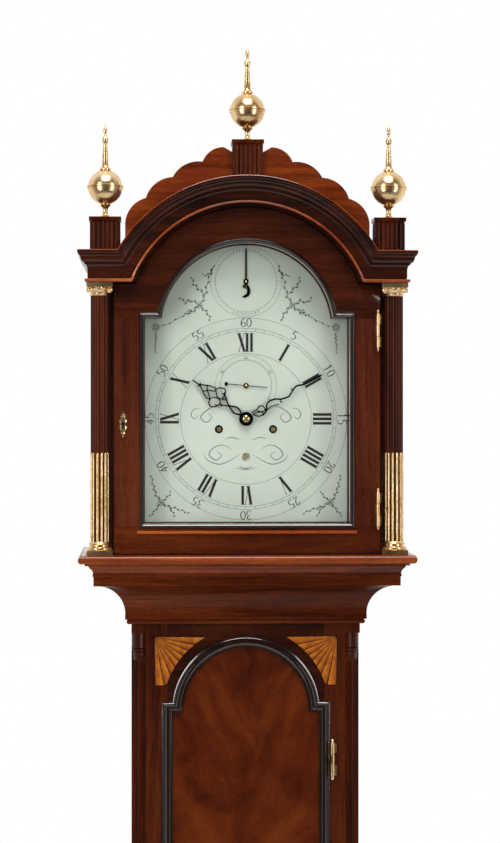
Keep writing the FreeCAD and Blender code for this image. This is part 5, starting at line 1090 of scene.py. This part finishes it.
for name in ("going", "strike"):
    x = middle_of(name + "_weight").x
    sketch = bmesh.new()
    spun(sketch, weight_case, Vector((x, line_depth, weight_head)), upward, 48)
    for side in (-1, 1):
        inner, outer = sorted((line_depth + side * 2.9, line_depth + side * 4.4))
        block(sketch, (x - loop_half, inner, 448), (x + loop_half, outer, 485), 0.5)
    block(sketch, (x - loop_half, line_depth - 4.4, 446.6), (x + loop_half, line_depth + 4.4, 448.4), 0.4)
    spun(sketch, [(0, -5.4), (2.6, -5.4), (2.8, -4.6), (1.9, -4.4), (1.9, 4.4), (2.8, 4.6), (2.6, 5.4),
                  (0, 5.4)], Vector((x, line_depth, pulley_level)), front, 24)
    piece(name + "_weight_case", sketch, cast_brass, name + "_weight", "brass", name + "_weight", sharp=38)
    sketch = bmesh.new()
    half = [(2.3, -2.5), (4.6, -2.5), (4.8, -1.4), (17.6, -1.2), (18.6, -2.5), (23.2, -2.5), (23.5, -2),
            (21.6, -0.9)]
    wheel = half + [(21, 0)] + [(out, -along) for out, along in half[::-1]]
    spun(sketch, wheel, Vector((x, line_depth, pulley_level)), front, 56, ring=True)
    piece(name + "_pulley_wheel", sketch, lacquered_brass, name + "_pulley", "brass", name + "_pulley",
          sharp=35)


# The lines are gut, a few strands twisted hard together. Each runs from its barrel through the seatboard,
# under the pulley and back up to a hole in the seatboard, where it is knotted.

line_reach, wrap = 0.8, 22.1


def gut_look(tree, where):
    """Twisted gut: slanting bands between the strands, waxy and half clear."""
    lean = add(tree, "ShaderNodeMapping", {"Rotation": (0, radians(35), 0), "Vector": where})
    twist = add(tree, "ShaderNodeTexWave", {"Scale": 160.0, "Distortion": 0.4, "Vector": lean},
                bands_direction="Z")
    colour = add(tree, "ShaderNodeValToRGB", {"Fac": (twist, "Fac")},
                 [(0.25, tone("#7d6338")), (0.7, tone("#bd9f66"))])
    bump = add(tree, "ShaderNodeBump", {"Strength": 0.5, "Distance": 0.0002, "Height": (twist, "Fac")})
    return {"Base Color": colour, "Normal": bump, "Roughness": 0.5}


gut = shaded("twisted_gut", gut_look)
seat_foot, seat_top = (corner.z for corner in box("seatboard"))
barrel_height = dial_middle.z + barrel_drop


def tube(sketch, points):
    """A round line through points in the plane of the pulleys."""
    swept(sketch, points, [[(right, line_depth + back) for back, right in circle(line_reach, 10)]])


for name in ("going", "strike"):
    x = middle_of(name + "_pulley").x
    sketch = bmesh.new()
    for side in (-1, 1):
        tube(sketch, [(x + side * wrap, pulley_level + (seat_foot - pulley_level) * step / 12)
                      for step in range(13)])
    falls = piece(name + "_falls", sketch, gut, "case", "gut", name + "_line")
    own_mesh(falls)
    sketch = bmesh.new()
    tube(sketch, [(x - wrap * cos(pi * step / 24), pulley_level - wrap * sin(pi * step / 24))
                  for step in range(25)])
    piece(name + "_wrap", sketch, gut, name + "_weight", "gut")
    sketch = bmesh.new()
    tube(sketch, [(x - wrap, seat_foot - 1), (x - wrap, barrel_height - 1)])
    tube(sketch, [(x + wrap, seat_foot - 1), (x + wrap, seat_top + 1)])
    spun(sketch, [(0, 0), (2.2, 0.4), (2.8, 1.8), (2.2, 3.4), (0, 4)],
         Vector((x + wrap, line_depth, seat_top)), upward, 14)
    piece(name + "_lead", sketch, gut, "case", "gut")


# The bell is cast in bell metal, turned thin at the lip, and nutted to a steel stand over the plates.

bell_metal = metal("bell_metal", "#d8bb86", "#a2824f", 0.24)
finish_nodes(bell_metal, ["bell"])


# The plinths under the finials are reeded: a block of mahogany with a row of half-round reeds worked on its
# front and sides with a scratch stock, between a plain foot and a moulded cap.

def reed_row(tree, source):
    """Upright round reeds, side by side."""
    reed = add(tree, "GeometryNodeMeshCylinder",
               {"Vertices": 16, "Radius": (source, "Rod"), "Depth": (source, "Height")})
    step = add(tree, "ShaderNodeCombineXYZ", {"X": (source, "Pitch")})
    row = add(tree, "GeometryNodeMeshLine", {"Count": (source, "Count"), "Offset": step})
    return add(tree, "GeometryNodeInstanceOnPoints", {"Points": row, "Instance": reed})


plinth_points = [vertex.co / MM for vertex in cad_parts["finial_plinths"].data.vertices]
sketch = bmesh.new()
for centre in (-204, 0, 204):
    mine = [point for point in plinth_points if abs(point.x - centre) < 30]
    head, face = max(point.z for point in mine), min(point.y for point in mine) + 3.0
    foot = min(point.z for point in mine) + 0.5
    tall = head - 7.0 - foot
    row = made_by_rule(
        "plinth_reeds", {"Count": 6, "Rod": 2.5, "Pitch": 6.4, "Height": tall}, reed_row, mahogany_turned)
    middle = Vector((centre, face + 20.0, foot + tall / 2))
    for turn in (0.0, pi / 2, -pi / 2):
        stand(sketch, row, middle, turn, Vector((-16, -19.3, 0)))
piece("plinth_reeding", sketch, mahogany_turned, "hood", "mahogany", sharp=50)


# The quarter columns in the corners of the trunk are worked in one length: a fluted shaft between a turned
# base and capital, on plain blocks. Each is a quarter of a column, glued into its rebate.

quarter_low, quarter_high = box("quarter_columns")
quarter_reach = 21.0
quarter_rows = [(0, 21, 0), (21.0, 21, 0), (21.8, 20.2, 0), (22.2, 19, 0), (23.4, 20.6, 0), (25.4, 20.6, 0),
                (26.6, 18.8, 0), (28.2, 18.6, 0), (29.0, 19.6, 0), (30.2, 19.6, 0), (31.2, 18.9, 0),
                (38.0, 18.9, 0), (40.0, 18.9, 1.2), (43.0, 18.9, 2.1)]
tall = quarter_high.z - quarter_low.z
quarter_rows += [(tall - along, reach, flute) for along, reach, flute in reversed(quarter_rows)]
steps, flutes = 90, 5
sketch = bmesh.new()
for side in (-1, 1):
    rings = []
    centre_x, centre_y = side * (quarter_high.x - quarter_reach), quarter_low.y + quarter_reach
    for along, reach, flute in quarter_rows:
        ring = [(centre_x, centre_y, quarter_low.z + along)]
        for step in range(steps + 1):
            turn = pi / 2 * step / steps
            out = reach - flute * abs(sin(2 * flutes * turn)) ** 0.6
            ring.append((centre_x + side * out * cos(turn), centre_y - out * sin(turn),
                         quarter_low.z + along))
        rings.append(ring)
    skin(sketch, rings)
piece("quarter_shafts", sketch, mahogany_turned, "case", "mahogany", "quarter_columns", sharp=32)


# Brass fittings: cast, filed and lacquered, warm yellow with a soft cloud of tarnish.

finish_nodes(lacquered_brass, ["movement_frame", "going_great_wheel", "strike_great_wheel", "cannon_pinion",
                               "minute_wheel", "hour_wheel", "centre_wheel", "third_wheel", "escape_wheel"])
bright_steel = metal("bright_steel", "#b9babb", "#85878a", 0.3)
finish_nodes(bright_steel, ["pallet_anchor", "pendulum_rod", "bell_hammer"])


def glass_look(tree, where):
    """Thin crown glass."""
    return {"Base Color": tone("#f4faf6"), "Roughness": 0.02, "Transmission Weight": 1.0, "IOR": 1.45,
            "Alpha": 0.12}


crown_glass = shaded("crown_glass", glass_look)
finish_nodes(crown_glass, ["hood_side_glass", "hood_door_glass"])


# The stage is a round pale floor that ends behind the clock, a white surround that only the camera and
# reflections see, and three soft lamps at a plain level.

floor_mesh = bpy.data.meshes.new("pale_floor")
sketch = bmesh.new()
bmesh.ops.create_circle(sketch, cap_ends=True, segments=96, radius=2.6)
sketch.to_mesh(floor_mesh)
sketch.free()
floor = bpy.data.objects.new("pale_floor", floor_mesh)
bpy.context.scene.collection.objects.link(floor)


def floor_look(tree, where):
    """Matt pale paint, a little uneven."""
    colour = clouded(tree, where, 3.0, 3.0, [(0.3, tone("#dcdcda")), (0.7, tone("#e6e6e4"))])
    return {"Base Color": colour, "Roughness": 0.9}


floor_mesh.materials.append(shaded("matt_floor_paint", floor_look))

scene = bpy.context.scene
scene.view_settings.view_transform = "Standard"
surround = bpy.data.worlds.new("white_surround")
surround.use_nodes = True
scene.world = surround
air = surround.node_tree
seen = add(air, "ShaderNodeLightPath")
mirror = add(air, "ShaderNodeMath", {0: (seen, "Is Camera Ray"), 1: (seen, "Is Transmission Ray")},
             operation="MAXIMUM")
place = add(air, "ShaderNodeTexCoord")
heading = add(air, "ShaderNodeSeparateXYZ", {"Vector": (place, "Generated")})
dim = add(air, "ShaderNodeMapRange",
          {"From Min": -0.62, "From Max": 0.3, "To Min": 0.04, "To Max": 0.95, "Value": (heading, "Y")},
          interpolation_type="SMOOTHSTEP")
soft = add(air, "ShaderNodeMath", {0: (seen, "Is Glossy Ray"), 1: dim}, operation="MULTIPLY")
both = add(air, "ShaderNodeMath", {0: mirror, 1: soft}, operation="MAXIMUM")
plain = add(air, "ShaderNodeMath", {0: 1.0, 1: (seen, "Is Glossy Ray")}, operation="SUBTRACT")
plain = add(air, "ShaderNodeMath", {1: 0.36, 0: plain}, operation="MULTIPLY")
level = add(air, "ShaderNodeMath", {0: both, 1: plain}, operation="MAXIMUM")
sky = air.nodes["Background"]
feed(air, sky, {"Color": (1, 1, 1, 1), "Strength": level})

lamps = {"left_softbox": ((-2.3, -2.9, 2.1), 48, 0.8, 2.4), "right_softbox": ((2.5, -2.6, 2), 36, 0.7, 2.4),
         "top_softbox": ((0.0, -1.5, 4.3), 74, 1.6, 1.6)}
for name, (spot, power, wide, tall) in lamps.items():
    lamp = bpy.data.lights.new(name, "AREA")
    lamp.energy = power
    lamp.shape = "RECTANGLE"
    lamp.size, lamp.size_y = wide, tall
    holder = bpy.data.objects.new(name, lamp)
    holder.location = spot
    holder.rotation_euler = (Vector((0, -0.1, 1.5)) - Vector(spot)).to_track_quat("-Z", "Y").to_euler()
    scene.collection.objects.link(holder)

# The camera stands to the left of the middle, level, and looks at the hood and upper trunk.
view = bpy.data.cameras.new("studio_camera")
turn = radians(-2.6)
reach, seen_height = 3.4, 1.2139
target = Vector((0.004, -0.1, 1.8007))
view.sensor_fit = "VERTICAL"
view.sensor_height = 36.0
view.lens = view.sensor_height * reach / seen_height
camera = bpy.data.objects.new("studio_camera", view)
camera.location = target + Vector((sin(turn), -cos(turn), 0)) * reach
camera.rotation_euler = (pi / 2, 0, turn)
scene.collection.objects.link(camera)
scene.camera = camera
